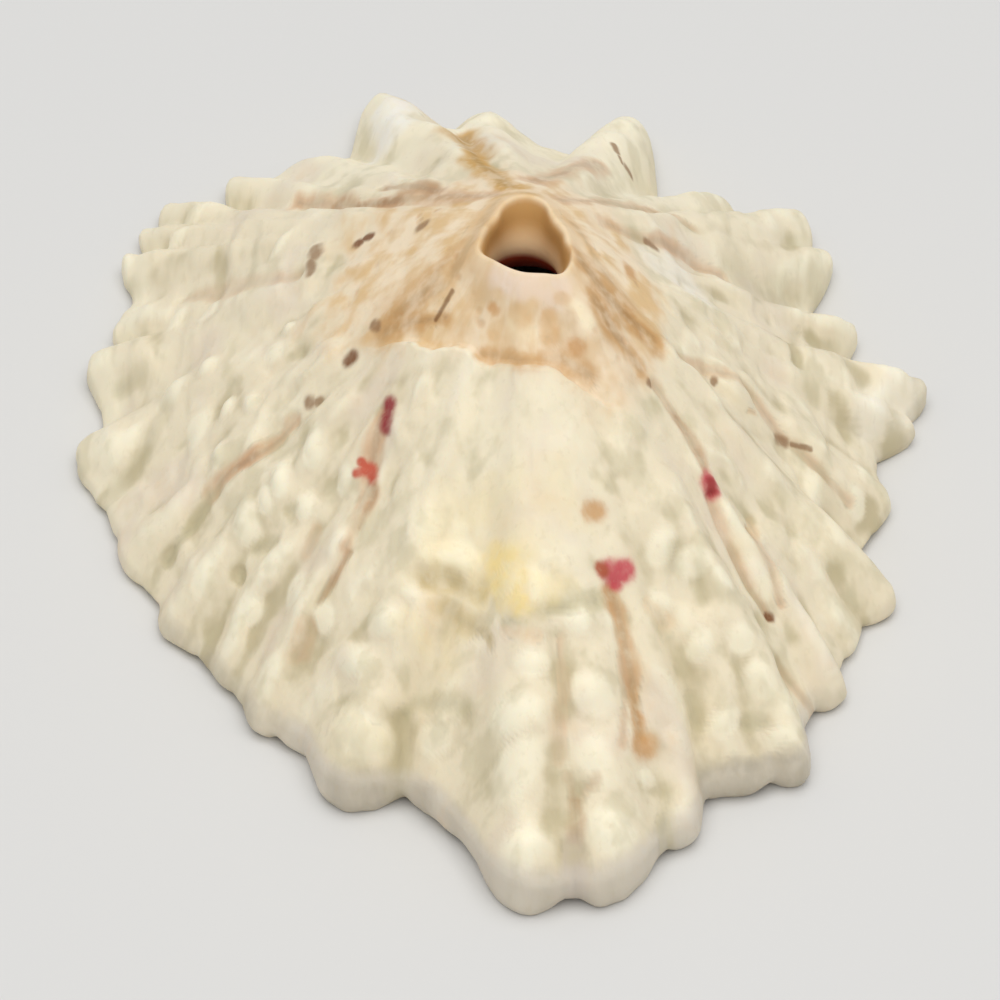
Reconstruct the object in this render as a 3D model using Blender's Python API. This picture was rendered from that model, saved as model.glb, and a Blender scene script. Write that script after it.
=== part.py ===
"""Keyhole limpet shell: a low ribbed cone, open below, with a keyhole worn through its top.

The shell rests on the feet of its ribs. +Z is up, +Y runs along the shell towards its broad
hind end, and the origin lies under the middle of the shell, on the surface that it rests on.
Every size below is in millimetres, and every azimuth is in degrees round the keyhole, from +X
towards +Y. A share runs down the flank, from 0 at the keyhole's rim to 1 at the margin.
"""

import math

import bmesh
import bpy
import numpy as np

MM = 0.001

# Overall height, and where the keyhole's middle stands over the floor
HEIGHT = 12.6
KEYHOLE_X = 0.66
KEYHOLE_Y = -2.38

# The margin's radius along the grooves between the ribs: azimuth, radius
GROOVE_LINE = (
    (0, 10.5), (12, 11.0), (33, 11.97), (46, 12.95), (54, 14.9), (62, 15.25), (73, 15.25), (87, 17.2),
    (98, 18.05), (110, 17.5), (119, 17.45), (125, 16.8), (131, 17.4), (137, 16.6), (142, 15.7),
    (148, 14.9), (162, 13.65), (179, 12.35), (194, 11.3), (212, 10.75), (230, 10.85), (243, 11.0),
    (255, 11.35), (261, 12.25), (266, 13.6), (276, 14.3), (285, 13.4), (291, 12.7), (297, 11.75),
    (304, 12.15), (319, 11.1), (333, 10.7), (347, 10.6), (355, 10.15),
)

# The ribs: azimuth, reach past the groove line, half width before and after it, height
RIBS = (
    (5.0, 0.35, 5.0, 5.0, 0.28),
    (19.7, 1.5, 3.5, 6.0, 0.34),
    (25.7, 2.2, 7.0, 5.5, 0.48),
    (39.5, 1.15, 4.0, 3.0, 0.36),
    (50.0, 1.25, 3.5, 4.5, 0.40),
    (57.5, 1.25, 6.0, 4.0, 0.50),
    (67.0, 0.7, 4.0, 4.0, 0.35),
    (78.5, 2.75, 5.0, 6.0, 0.60),
    (93.5, 0.75, 5.0, 4.0, 0.50),
    (103.5, 2.05, 6.0, 5.0, 0.60),
    (113.0, 0.25, 4.0, 4.0, 0.35),
    (121.5, 0.9, 3.0, 2.5, 0.28),
    (128.3, 1.1, 2.5, 3.2, 0.32),
    (132.8, 0.65, 2.5, 2.5, 0.28),
    (137.3, 0.85, 2.5, 2.5, 0.28),
    (145.5, 0.35, 3.0, 3.0, 0.26),
    (152.5, 0.8, 4.5, 5.5, 0.50),
    (167.5, 0.85, 6.5, 8.0, 0.60),
    (186.5, 0.25, 5.0, 4.0, 0.35),
    (200.5, 0.5, 6.0, 6.5, 0.45),
    (212.5, 0.0, 4.5, 4.5, 0.40),
    (224.5, 0.3, 4.5, 3.5, 0.40),
    (233.5, 0.0, 4.5, 5.0, 0.30),
    (243.5, 1.0, 9.5, 8.0, 0.58),
    (256.0, 0.0, 4.5, 4.5, 0.28),
    (269.5, 0.5, 6.0, 5.0, 0.40),
    (281.0, 0.5, 5.0, 6.0, 0.37),
    (292.5, 0.4, 4.5, 3.0, 0.26),
    (300.5, 0.1, 4.0, 4.0, 0.27),
    (309.8, 0.8, 4.0, 5.5, 0.40),
    (325.0, 0.6, 5.0, 3.5, 0.40),
    (335.5, 0.1, 4.0, 4.0, 0.24),
    (345.5, 0.7, 6.0, 6.5, 0.44),
)

# Below 1 it broadens the crests and narrows the grooves: of the teeth, and of the low ribs
TOOTH_BREADTH = 0.55
RIB_BREADTH = 0.9
# The share at which the ribs come out of the worn top, and over which they do so
RIBS_START = 0.12
RIBS_RISE = 0.36
# The ribs of the smooth near side come out later: azimuth of the rib, share
LATE_RIBS = {
    212.5: 0.45, 224.5: 0.25, 233.5: 0.20, 256.0: 0.56, 269.5: 0.40, 281.0: 0.38, 292.5: 0.35,
    300.5: 0.40, 309.8: 0.32, 325.0: 0.25, 335.5: 0.25,
}
# They first stay low, at this share of their height: azimuth, share
LOW_LINE = (
    (0, 0.22), (30, 0.20), (60, 0.24), (100, 0.50), (128, 0.16), (160, 0.20), (200, 0.40), (240, 0.58),
    (290, 0.58), (325, 0.38),
)
# The share from which they grow to their full height: azimuth, share
GROW_LINE = (
    (0, 0.74), (40, 0.76), (75, 0.68), (100, 0.64), (125, 0.74), (165, 0.78), (190, 0.72), (215, 0.66),
    (300, 0.64), (330, 0.68),
)
RIBS_GROWN_AT = 0.94
# The share of their height that they lose again on the last stretch to the margin
RIBS_FALL = 0.30
RIBS_FALL_FROM = 0.92
# How late the ribs reach out past the groove line, as a power of the share, so that they end in
# spouts: azimuth, power
REACH_LINE = (
    (0, 4.0), (35, 4.0), (60, 3.4), (80, 2.4), (104, 2.4), (120, 3.6), (165, 4.2), (200, 3.6), (235, 2.6),
    (300, 2.6), (325, 3.4),
)

# Lumps along every rib: how many, how deep as a share of its height, and how they are staggered
LUMPS_PER_RIB = 6
LUMP_DEPTH = 0.25
LUMP_STAGGER = 0.37

# The largest knobs: azimuth, share, radius, height
KNOBS = (
    (241.0, 0.67, 0.90, 0.25), (242.0, 0.87, 1.10, 0.35), (255.0, 0.53, 0.80, 0.25),
    (255.0, 0.87, 0.80, 0.25), (268.5, 0.62, 0.80, 0.20), (269.5, 0.91, 1.00, 0.35),
    (281.0, 0.70, 0.90, 0.20), (281.5, 0.91, 0.90, 0.30), (201.0, 0.70, 0.80, 0.20),
    (202.0, 0.86, 0.90, 0.25), (222.0, 0.88, 0.80, 0.20), (309.0, 0.84, 0.80, 0.20),
)

# The share at which the worn top ends, and where it ends in a step: azimuth, share
WORN_EDGE = (
    (10, 0.30), (60, 0.24), (120, 0.24), (160, 0.28), (192, 0.305), (198, 0.265), (212, 0.225),
    (224, 0.203), (241, 0.180), (247, 0.190), (258, 0.177), (270, 0.155), (282, 0.165), (290, 0.20),
    (297, 0.245), (330, 0.28),
)
WORN_STEP = 0.25
STEP_MIDDLE = 246.0
STEP_HALF_WIDTH = 62.0
# The worn top levels out to the rim within this share
RIM_LEVEL_SHARE = 0.1

# Below 1 the flank is hollow, above 1 it bulges
FLANK_BULGE = 1.05
# High powers keep the relief off the margin's outline, which the ribs' reach already gives
SIDEWAYS_FADE = 6

# The keyhole's rim and the narrowest part of its throat, seen from above: azimuth, radius
KEYHOLE_LINE = (
    (7, 1.02), (53, 1.08), (70, 1.38), (95, 1.52), (118, 1.28), (130, 1.10), (165, 1.06), (188, 1.17),
    (204, 1.31), (229, 1.22), (266, 1.36), (290, 1.52), (302, 1.72), (315, 1.62), (327, 1.45), (345, 1.14),
)
THROAT_LINE = (
    (0, 0.94), (45, 0.90), (85, 0.98), (125, 1.05), (165, 1.04), (225, 1.06), (285, 1.13), (320, 1.10),
)
RIM_ROUNDING = 0.18
THROAT_DEPTH = 1.6
FUNNEL_MIDDLE = 0.45

# The height of the margin's edge, thick at the narrow near end and thin elsewhere: azimuth, height
EDGE_LINE = (
    (0, 0.60), (20, 0.65), (60, 0.55), (120, 0.50), (170, 0.50), (205, 0.60), (230, 0.85), (243, 1.05),
    (270, 1.15), (283, 1.10), (296, 0.95), (310, 0.95), (325, 0.70),
)
EDGE_BULGE = 0.12
EDGE_BULGE_AT = 0.55
EDGE_TUCK_AT = 0.2
EDGE_INSET = 0.2
EDGE_THICKNESS = 1.1
TOOTH_SHARE_INSIDE = 0.35
# The grooves arch over the floor by this share of the edge's height
ARCH_SHARE = 0.16
FOOT_STARTS_AT = 0.6

# The hollow underneath, and the thick ring round the keyhole inside it
HOLLOW_STEP = 0.35
HOLLOW_BULGE = 1.1
HOLLOW_TOP_DEPTH = 3.4
HOLLOW_TOP_SHARE = 0.14
RING_CREST_DEPTH = 3.1
RING_CREST_X = 2.1
RING_CREST_Y = 2.3
RING_LIP_DEPTH = 2.75
RING_LIP_X = 1.5
RING_LIP_Y = 1.65

# How finely the solid is faceted
DEGREES_PER_SIDE = 2.4
FLANK_BANDS = 18
HOLLOW_RINGS = 9
# Rings of the worn top, and the first ring past its step, as shares of the way to its edge
TOP_RINGS = (0.0, 0.3, 0.65, 0.97)
PAST_STEP = 1.04

SHELL_COLOUR = (0.80, 0.72, 0.58, 1.0)
SHELL_ROUGHNESS = 0.55


def smooth_step(value):
    """Ease from 0 to 1 as value goes from 0 to 1, and hold both ends."""
    held = np.clip(value, 0.0, 1.0)
    return held * held * (3.0 - 2.0 * held)


def turn_between(azimuth, centre):
    """Give the signed turn from centre to azimuth, in degrees from -180 to 180."""
    return (azimuth - centre + 180.0) % 360.0 - 180.0


def closed_curve(points, azimuth):
    """Read a smooth closed curve through (azimuth, value) points."""
    knots = np.array([point[0] for point in points], float)
    values = np.array([point[1] for point in points], float)
    knots = np.concatenate([knots - 360.0, knots, knots + 360.0])
    values = np.tile(values, 3)
    slopes = np.gradient(values, knots)
    place = np.searchsorted(knots, azimuth, side="right") - 1
    span = knots[place + 1] - knots[place]
    part = (azimuth - knots[place]) / span
    ease = smooth_step(part)
    pull = slopes[place] * (1.0 - part) - slopes[place + 1] * part
    return values[place] * (1.0 - ease) + values[place + 1] * ease + span * part * (1.0 - part) * pull


def oval(azimuth, half_x, half_y):
    """Give the radius of an oval centred on the keyhole."""
    angle = np.radians(azimuth)
    return 1.0 / np.hypot(np.cos(angle) / half_x, np.sin(angle) / half_y)


def rib_shape(azimuth, rib, breadth):
    """Give one rib's rounded cross section: 1 on its crest and 0 in the grooves."""
    centre, _, before, after, _ = rib
    turn = turn_between(azimuth, centre)
    side = np.where(turn < 0.0, turn / before, turn / after)
    hump = 0.5 + 0.5 * np.cos(math.pi * np.clip(side, -1.0, 1.0))
    return hump**breadth


def teeth(azimuth):
    """Give how far the ribs reach past the groove line at the margin."""
    return np.max([rib[1] * rib_shape(azimuth, rib, TOOTH_BREADTH) for rib in RIBS], axis=0)


def rib_relief(azimuth, share):
    """Give the height of the ribs over the grooves, with the lumps along them."""
    relief = np.zeros_like(azimuth)
    edge = closed_curve(WORN_EDGE, azimuth)
    for rib in RIBS:
        waves = LUMPS_PER_RIB * (share - edge) / (1.0 - edge) + LUMP_STAGGER * rib[0]
        lumps = 1.0 + LUMP_DEPTH * np.cos(2.0 * math.pi * waves)
        rise = smooth_step((share - LATE_RIBS.get(rib[0], RIBS_START)) / RIBS_RISE)
        relief += rib[4] * rib_shape(azimuth, rib, RIB_BREADTH) * lumps * rise
    low = closed_curve(LOW_LINE, azimuth)
    start = closed_curve(GROW_LINE, azimuth)
    growth = low + (1.0 - low) * smooth_step((share - start) / (RIBS_GROWN_AT - start))
    fall = RIBS_FALL * smooth_step((share - RIBS_FALL_FROM) / (1.0 - RIBS_FALL_FROM))
    return relief * growth * (1.0 - fall)


def knob_relief(azimuth, share, run):
    """Give the height of the largest knobs, each a round hump."""
    relief = np.zeros_like(azimuth)
    for centre, knob_share, knob_radius, height in KNOBS:
        across = np.radians(turn_between(azimuth, centre)) * run * share
        along = (share - knob_share) * run
        relief += height * smooth_step(1.0 - np.hypot(across, along) / knob_radius)
    return relief


def worn_step(azimuth, share):
    """Give the drop of the worn top below the outer layer of the shell."""
    strength = smooth_step(2.0 - 2.0 * np.abs(turn_between(azimuth, STEP_MIDDLE)) / STEP_HALF_WIDTH)
    inside = share < closed_curve(WORN_EDGE, azimuth)
    return np.where(inside, WORN_STEP * strength, 0.0)


def flank(azimuth, share):
    """Place one ring of the outer flank: its radius and its height."""
    rim = closed_curve(KEYHOLE_LINE, azimuth) + RIM_ROUNDING
    run = closed_curve(GROOVE_LINE, azimuth) - EDGE_BULGE - rim
    edge = closed_curve(EDGE_LINE, azimuth)
    drop = HEIGHT - edge
    radius = rim + run * share + teeth(azimuth) * share ** closed_curve(REACH_LINE, azimuth)
    height = edge + drop * (1.0 - share**FLANK_BULGE)
    relief = rib_relief(azimuth, share) + knob_relief(azimuth, share, run)
    relief = relief - worn_step(azimuth, share) * smooth_step(share / RIM_LEVEL_SHARE)
    slope = np.arctan2(drop, run)
    outward = relief * np.sin(slope) * (1.0 - share**SIDEWAYS_FADE)
    return radius + outward, height + relief * np.cos(slope)


def arch(azimuth):
    """Give the margin's height over the floor: 0 under each rib, raised under each groove."""
    crest = np.max([rib_shape(azimuth, rib, TOOTH_BREADTH) for rib in RIBS], axis=0)
    return ARCH_SHARE * closed_curve(EDGE_LINE, azimuth) * (1.0 - smooth_step(crest / FOOT_STARTS_AT))


def inner_margin_radius(azimuth):
    """Give the radius of the margin's inner edge, which follows the teeth only weakly."""
    return closed_curve(GROOVE_LINE, azimuth) + TOOTH_SHARE_INSIDE * teeth(azimuth) - EDGE_THICKNESS


def margin_rings(azimuth):
    """Give the rings round the margin's edge, from the flank's foot to the hollow."""
    outer, _ = flank(azimuth, np.ones_like(azimuth))
    lift = arch(azimuth)
    thickness = closed_curve(EDGE_LINE, azimuth) - lift
    return [
        (outer + EDGE_BULGE, lift + EDGE_BULGE_AT * thickness),
        (outer, lift + EDGE_TUCK_AT * thickness),
        (outer - EDGE_INSET, lift),
        (inner_margin_radius(azimuth), lift),
    ]


def hollow_rings(azimuth):
    """Give the rings of the hollow's wall, from the margin up to the ring round the keyhole."""
    lift = arch(azimuth)
    foot = inner_margin_radius(azimuth) - HOLLOW_STEP
    rim = closed_curve(KEYHOLE_LINE, azimuth) + RIM_ROUNDING
    top = rim + HOLLOW_TOP_SHARE * (closed_curve(GROOVE_LINE, azimuth) - rim)
    foot_height = lift + HOLLOW_STEP
    top_height = HEIGHT - HOLLOW_TOP_DEPTH
    rings = []
    for ring in range(HOLLOW_RINGS):
        share = ring / (HOLLOW_RINGS - 1)
        rise = 1.0 - (1.0 - share) ** HOLLOW_BULGE
        rings.append((foot + (top - foot) * share, foot_height + (top_height - foot_height) * rise))
    return rings


def keyhole_rings(azimuth):
    """Give the rings from the thick ring inside, up through the throat, to the keyhole's rim."""
    rim = closed_curve(KEYHOLE_LINE, azimuth)
    throat = closed_curve(THROAT_LINE, azimuth)
    level = np.full_like(azimuth, HEIGHT)
    middle = throat + (rim - throat) * (1.0 - FUNNEL_MIDDLE)
    return [
        (oval(azimuth, RING_CREST_X, RING_CREST_Y), level - RING_CREST_DEPTH),
        (oval(azimuth, RING_LIP_X, RING_LIP_Y), level - RING_LIP_DEPTH),
        (throat, level - THROAT_DEPTH),
        (middle, level - FUNNEL_MIDDLE * THROAT_DEPTH),
        (rim, level - RIM_ROUNDING),
    ]


def ring_vertices(mesh, azimuth, ring):
    """Add one ring of vertices to the mesh."""
    radius, height = ring
    angle = np.radians(azimuth)
    x = MM * (KEYHOLE_X + radius * np.cos(angle))
    y = MM * (KEYHOLE_Y + radius * np.sin(angle))
    z = MM * height
    return [mesh.verts.new(point) for point in zip(x, y, z)]


def bridge(mesh, ring, next_ring):
    """Join two rings of equal count, or one ring to another with half or twice its count."""
    count = max(len(ring), len(next_ring))
    step = len(ring) * 2 // count
    next_step = len(next_ring) * 2 // count
    for side in range(count):
        here, there = side * step // 2, (side + 1) * step // 2
        near, far = side * next_step // 2, (side + 1) * next_step // 2
        corners = (ring[here], next_ring[near], next_ring[far % len(next_ring)], ring[there % len(ring)])
        mesh.faces.new(list(dict.fromkeys(corners)))


def side_azimuths():
    """Spread the sides between the ribs' crests, an even count in each gap, so none misses a crest."""
    crests = [rib[0] for rib in RIBS]
    azimuths = []
    for crest, next_crest in zip(crests, crests[1:] + [crests[0] + 360.0]):
        gap = next_crest - crest
        count = 2 * max(2, round(gap / (2.0 * DEGREES_PER_SIDE)))
        azimuths += [crest + gap * side / count for side in range(count)]
    return np.array(azimuths) % 360.0


def build_shell():
    """Build the shell as one closed solid of rings, from the keyhole out, round and back in."""
    fine = side_azimuths()
    coarse = fine[::2]
    mesh = bmesh.new()
    rings = [ring_vertices(mesh, coarse, ring) for ring in keyhole_rings(coarse)]
    for part in TOP_RINGS:
        share = part * closed_curve(WORN_EDGE, coarse)
        rings.append(ring_vertices(mesh, coarse, flank(coarse, share)))
    edge = closed_curve(WORN_EDGE, fine) * PAST_STEP
    for band in range(FLANK_BANDS + 1):
        share = edge + (1.0 - edge) * band / FLANK_BANDS
        rings.append(ring_vertices(mesh, fine, flank(fine, share)))
    rings += [ring_vertices(mesh, fine, ring) for ring in margin_rings(fine)]
    rings += [ring_vertices(mesh, coarse, ring) for ring in hollow_rings(coarse)]
    for ring, next_ring in zip(rings, rings[1:] + rings[:1]):
        bridge(mesh, ring, next_ring)
    bmesh.ops.triangulate(mesh, faces=mesh.faces)
    data = bpy.data.meshes.new("limpet_shell")
    mesh.to_mesh(data)
    mesh.free()
    data.shade_smooth()
    return data


def shell_material():
    """Make the shell's material: chalky cream, hardly shiny."""
    material = bpy.data.materials.new("shell_cream")
    material.use_nodes = True
    shader = material.node_tree.nodes["Principled BSDF"]
    shader.inputs["Base Color"].default_value = SHELL_COLOUR
    shader.inputs["Roughness"].default_value = SHELL_ROUGHNESS
    shader.inputs["Metallic"].default_value = 0.0
    return material


def main():
    """Clear the scene and build the shell."""
    for scene_object in list(bpy.data.objects):
        bpy.data.objects.remove(scene_object, do_unlink=True)
    shell = bpy.data.objects.new("limpet_shell", build_shell())
    shell.data.materials.append(shell_material())
    bpy.context.scene.collection.objects.link(shell)


main()
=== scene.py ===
"""Keyhole limpet shell, dressed: a beach-worn, ribbed cone with a keyhole worn through its top.

Sizes are in millimetres and azimuths in degrees round the keyhole, from +X towards +Y. A share
runs down the outer flank, from 0 at the keyhole's rim to 1 at the margin. Beads, streaks and
marks are given by the pixel at which the photograph shows them, and are looked up on the flank.
"""

import itertools
import logging
import math
from dataclasses import dataclass
from enum import Enum

import bpy
import numpy as np
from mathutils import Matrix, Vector


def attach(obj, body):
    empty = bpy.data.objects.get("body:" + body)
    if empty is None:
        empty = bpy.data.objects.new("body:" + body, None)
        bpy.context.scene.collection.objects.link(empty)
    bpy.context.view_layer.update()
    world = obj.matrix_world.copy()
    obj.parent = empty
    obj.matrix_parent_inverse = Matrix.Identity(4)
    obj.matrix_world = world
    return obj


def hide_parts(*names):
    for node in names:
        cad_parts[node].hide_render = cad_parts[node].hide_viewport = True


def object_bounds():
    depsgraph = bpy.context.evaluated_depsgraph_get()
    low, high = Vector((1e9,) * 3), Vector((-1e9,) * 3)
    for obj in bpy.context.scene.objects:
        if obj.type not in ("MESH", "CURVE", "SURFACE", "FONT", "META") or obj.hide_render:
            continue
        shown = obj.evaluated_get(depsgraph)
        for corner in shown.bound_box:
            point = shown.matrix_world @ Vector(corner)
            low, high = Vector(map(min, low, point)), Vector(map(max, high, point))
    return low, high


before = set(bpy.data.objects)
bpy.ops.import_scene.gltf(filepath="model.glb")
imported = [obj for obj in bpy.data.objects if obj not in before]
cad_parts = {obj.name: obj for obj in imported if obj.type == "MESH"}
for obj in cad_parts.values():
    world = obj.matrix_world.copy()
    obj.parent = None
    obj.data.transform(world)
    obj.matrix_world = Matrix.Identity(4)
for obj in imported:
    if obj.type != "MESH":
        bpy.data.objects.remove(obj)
cad_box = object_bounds()

log = logging.getLogger("limpet")

Array = np.ndarray
Pixel = tuple[float, float]
Ring = tuple[Array, Array]

# Where an ease is 0 and where it is 1; either may be the larger
Span = tuple[float, float]

MM = 0.001
PICTURE_SIDE = 1000
SENSOR_WIDTH = 36.0
TINY = 1e-6

# The middle of what a cloud gives
EVEN = 0.5

# A span that lies before every share
EVERYWHERE: Span = (-1.0, 0.0)

# The whole numbers that scramble a grain's cells
SEED_FACTOR = 2654435761
CELL_FACTORS = (73856093, 19349663, 83492791)
SCRAMBLES = ((15, 2246822519), (13, 3266489917))
LAST_SHIFT = 16
WORD = 0xFFFFFFFF
HALF_WORD = 2147483648.0

# The margin's radius along the grooves between the ribs: azimuth, radius
GROOVE_LINE = (
    (0, 10.5), (12, 11.0), (33, 11.97), (46, 12.95), (54, 14.9), (62, 15.25), (73, 15.25), (87, 17.2),
    (98, 18.05), (110, 17.5), (119, 17.45), (125, 16.8), (131, 17.4), (137, 16.6), (142, 15.7),
    (148, 14.9), (162, 13.65), (179, 12.35), (194, 11.3), (212, 10.75), (230, 10.85), (243, 11.0),
    (255, 11.35), (261, 12.25), (266, 13.6), (276, 14.3), (285, 13.4), (291, 12.7), (297, 11.75),
    (304, 12.15), (319, 11.1), (333, 10.7), (347, 10.6), (355, 10.15),
)

# The keyhole's rim and the narrowest part of its throat, seen from above: azimuth, radius
KEYHOLE_LINE = (
    (7, 1.02), (53, 1.08), (70, 1.38), (95, 1.52), (118, 1.28), (130, 1.10), (165, 1.06), (188, 1.17),
    (204, 1.31), (229, 1.22), (266, 1.36), (290, 1.52), (302, 1.72), (315, 1.62), (327, 1.45), (345, 1.14),
)
THROAT_LINE = (
    (0, 0.94), (45, 0.90), (85, 0.98), (125, 1.05), (165, 1.04), (225, 1.06), (285, 1.13), (320, 1.10),
)

# The share at which the worn top ends: azimuth, share
WORN_EDGE = (
    (10, 0.30), (60, 0.24), (120, 0.24), (160, 0.28), (192, 0.305), (198, 0.265), (212, 0.225),
    (224, 0.203), (241, 0.180), (247, 0.190), (258, 0.177), (270, 0.155), (282, 0.165), (290, 0.20),
    (297, 0.245), (330, 0.28),
)

# The height of the margin's edge, thick at the narrow near end and thin elsewhere: azimuth, height
EDGE_LINE = (
    (0, 0.60), (20, 0.65), (60, 0.55), (120, 0.50), (170, 0.50), (205, 0.60), (230, 0.85), (243, 1.05),
    (270, 1.15), (283, 1.10), (296, 0.95), (310, 0.95), (325, 0.70),
)


@dataclass(frozen=True)
class Rib:
    """One rib: its place, its reach past the groove line, and half its width before and after it."""

    azimuth: float
    reach: float
    before: float
    after: float
    height: float


# The ribs: azimuth, reach, half width before and after, height
RIBS = tuple(Rib(*numbers) for numbers in (
    (5.0, 0.35, 5.0, 5.0, 0.28), (19.7, 1.5, 3.5, 6.0, 0.34), (25.7, 2.2, 7.0, 5.5, 0.48),
    (39.5, 1.15, 4.0, 3.0, 0.36), (50.0, 1.25, 3.5, 4.5, 0.40), (57.5, 1.25, 6.0, 4.0, 0.50),
    (67.0, 0.7, 4.0, 4.0, 0.35), (78.5, 2.75, 5.0, 6.0, 0.60), (93.5, 0.75, 5.0, 4.0, 0.50),
    (103.5, 2.05, 6.0, 5.0, 0.60), (113.0, 0.25, 4.0, 4.0, 0.35), (121.5, 0.9, 3.0, 2.5, 0.28),
    (128.3, 1.1, 2.5, 3.2, 0.32), (132.8, 0.65, 2.5, 2.5, 0.28), (137.3, 0.85, 2.5, 2.5, 0.28),
    (145.5, 0.35, 3.0, 3.0, 0.26), (152.5, 0.8, 4.5, 5.5, 0.50), (167.5, 0.85, 6.5, 8.0, 0.60),
    (186.5, 0.25, 5.0, 4.0, 0.35), (200.5, 0.5, 6.0, 6.5, 0.45), (212.5, 0.0, 4.5, 4.5, 0.40),
    (224.5, 0.3, 4.5, 3.5, 0.40), (233.5, 0.0, 4.5, 5.0, 0.30), (243.5, 1.0, 9.5, 8.0, 0.58),
    (256.0, 0.0, 4.5, 4.5, 0.28), (269.5, 0.5, 6.0, 5.0, 0.40), (281.0, 0.5, 5.0, 6.0, 0.37),
    (292.5, 0.4, 4.5, 3.0, 0.26), (300.5, 0.1, 4.0, 4.0, 0.27), (309.8, 0.8, 4.0, 5.5, 0.40),
    (325.0, 0.6, 5.0, 3.5, 0.40), (335.5, 0.1, 4.0, 4.0, 0.24), (345.5, 0.7, 6.0, 6.5, 0.44),
))

# Where the ribs of the worn near side come out of the smooth shell: azimuth of the rib, share
LATE_RIBS = {
    212.5: 0.45, 224.5: 0.25, 233.5: 0.20, 256.0: 0.56, 269.5: 0.40, 281.0: 0.38, 292.5: 0.35,
    300.5: 0.40, 309.8: 0.32, 325.0: 0.25, 335.5: 0.25,
}

# The share of their height that the ribs have before they grow near the margin: azimuth, share
LOW_LINE = (
    (0, 0.22), (30, 0.20), (60, 0.24), (100, 0.50), (128, 0.16), (160, 0.20), (200, 0.40), (240, 0.58),
    (290, 0.58), (325, 0.38),
)

# How late the teeth reach out past the groove line, as the power of the share: azimuth, power
REACH_LINE = (
    (0, 4.0), (35, 4.0), (60, 3.4), (80, 2.4), (104, 2.4), (120, 3.6), (165, 4.2), (200, 3.6), (235, 2.6),
    (300, 2.6), (325, 3.4),
)

# The share from which the ribs grow to their full height: azimuth, share
GROW_LINE = (
    (0, 0.74), (40, 0.76), (75, 0.68), (100, 0.64), (125, 0.74), (165, 0.78), (190, 0.72), (215, 0.66),
    (300, 0.64), (330, 0.68),
)


class Tint(Enum):
    """The shell's colours, in the photograph's own numbers from 0 to 255."""

    TAN = (222, 186, 138)
    DEEP_TAN = (202, 156, 100)
    BROWN_TAN = (188, 148, 108)
    PEACH = (228, 202, 168)
    ORANGE = (206, 158, 104)
    GOLD = (206, 160, 84)
    PINK_BROWN = (212, 174, 136)
    ROSE = (224, 206, 190)
    BLUSH = (242, 222, 204)
    # Olive: the shell's own olive patches and groove stains, and painted shade in some streaks
    OLIVE_AND_SHADE = (196, 186, 148)
    YELLOW = (247, 223, 158)
    # Mauve-grey of painted shade
    MAUVE_SHADE = (206, 192, 180)
    BROWN = (122, 74, 38)
    # Painted shadow beside the yellow patch
    GREY_BROWN = (146, 110, 76)
    UMBER = (126, 86, 48)
    # Chalk white: pale patches, and painted highlight on the right tooth
    CHALK_AND_HIGHLIGHT = (250, 246, 236)
    # Cream: pale spots, and painted highlight on some bright beads
    CREAM_AND_HIGHLIGHT = (255, 242, 208)
    KHAKI_SHADOW = (192, 172, 128)
    SHADOW_GREY = (182, 172, 150)
    # Grey of painted shadow streaks, mostly on the margin's lip
    CRIMSON = (146, 26, 44)
    RED = (200, 70, 84)
    SCARLET = (200, 84, 62)
    RUST = (176, 92, 62)
    WINE = (156, 56, 54)
    # The cream of the painted highlights
    HIGHLIGHT_CREAM = (250, 241, 213)
    MIDDLE = (238, 225, 195)
    # Painted shade in the crevices; also the colour of the random specks
    SHADE_AND_SPECKS = (204, 190, 155)
    # Painted shade on the margin's lip, which faces sideways
    LIP_SHADE = (213, 204, 190)
    WORN_LIGHT = (244, 224, 192)
    WORN_DEEP = (226, 193, 144)
    RIM = (228, 200, 160)
    THROAT_TOP = (208, 162, 100)
    # The lower throat wall's paler colour, painted lighter to offset the shade deep in the throat
    THROAT_LOW_PALE_AND_LIT = (255, 230, 190)
    CALLUS = (204, 92, 66)
    PORCELAIN = (236, 228, 214)
    SCAR = (224, 208, 184)

    def linear(self) -> tuple[float, float, float, float]:
        """Give the colour in light's own proportions, with an alpha of 1."""
        return linear_colour(*self.value)


def linear_colour(red: float, green: float, blue: float) -> tuple[float, float, float, float]:
    """Turn a picture's colour into a linear one.

    Args:
        red, green, blue: the picture's numbers, from 0 to 255.

    Returns:
        Linear red, green, blue, and an alpha of 1.
    """
    shares = (channel / 255.0 for channel in (red, green, blue))
    red, green, blue = (((share + 0.055) / 1.055) ** 2.4 for share in shares)
    return red, green, blue, 1.0


@dataclass(frozen=True)
class Bead:
    """One bead on a rib: its pixel, its half sizes across and down the flank, and its height."""

    pixel_x: float
    pixel_y: float
    across: float
    down: float
    height: float


@dataclass(frozen=True)
class Streak:
    """A soft streak along a line of pixels, with the furrow that holds it; most are stains, some are painted
    shade and some painted highlight.
    """

    tint: Tint
    half_width: float
    strength: float
    furrow: float
    pixels: tuple[Pixel, ...]


@dataclass(frozen=True)
class Mark:
    """A small mark with a clear edge, from one pixel to another."""

    tint: Tint
    radius: float
    start: Pixel
    end: Pixel


# A mark's tint and radius, and its two ends on the shell
Found = tuple[Tint, float, Array, Array]


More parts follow.
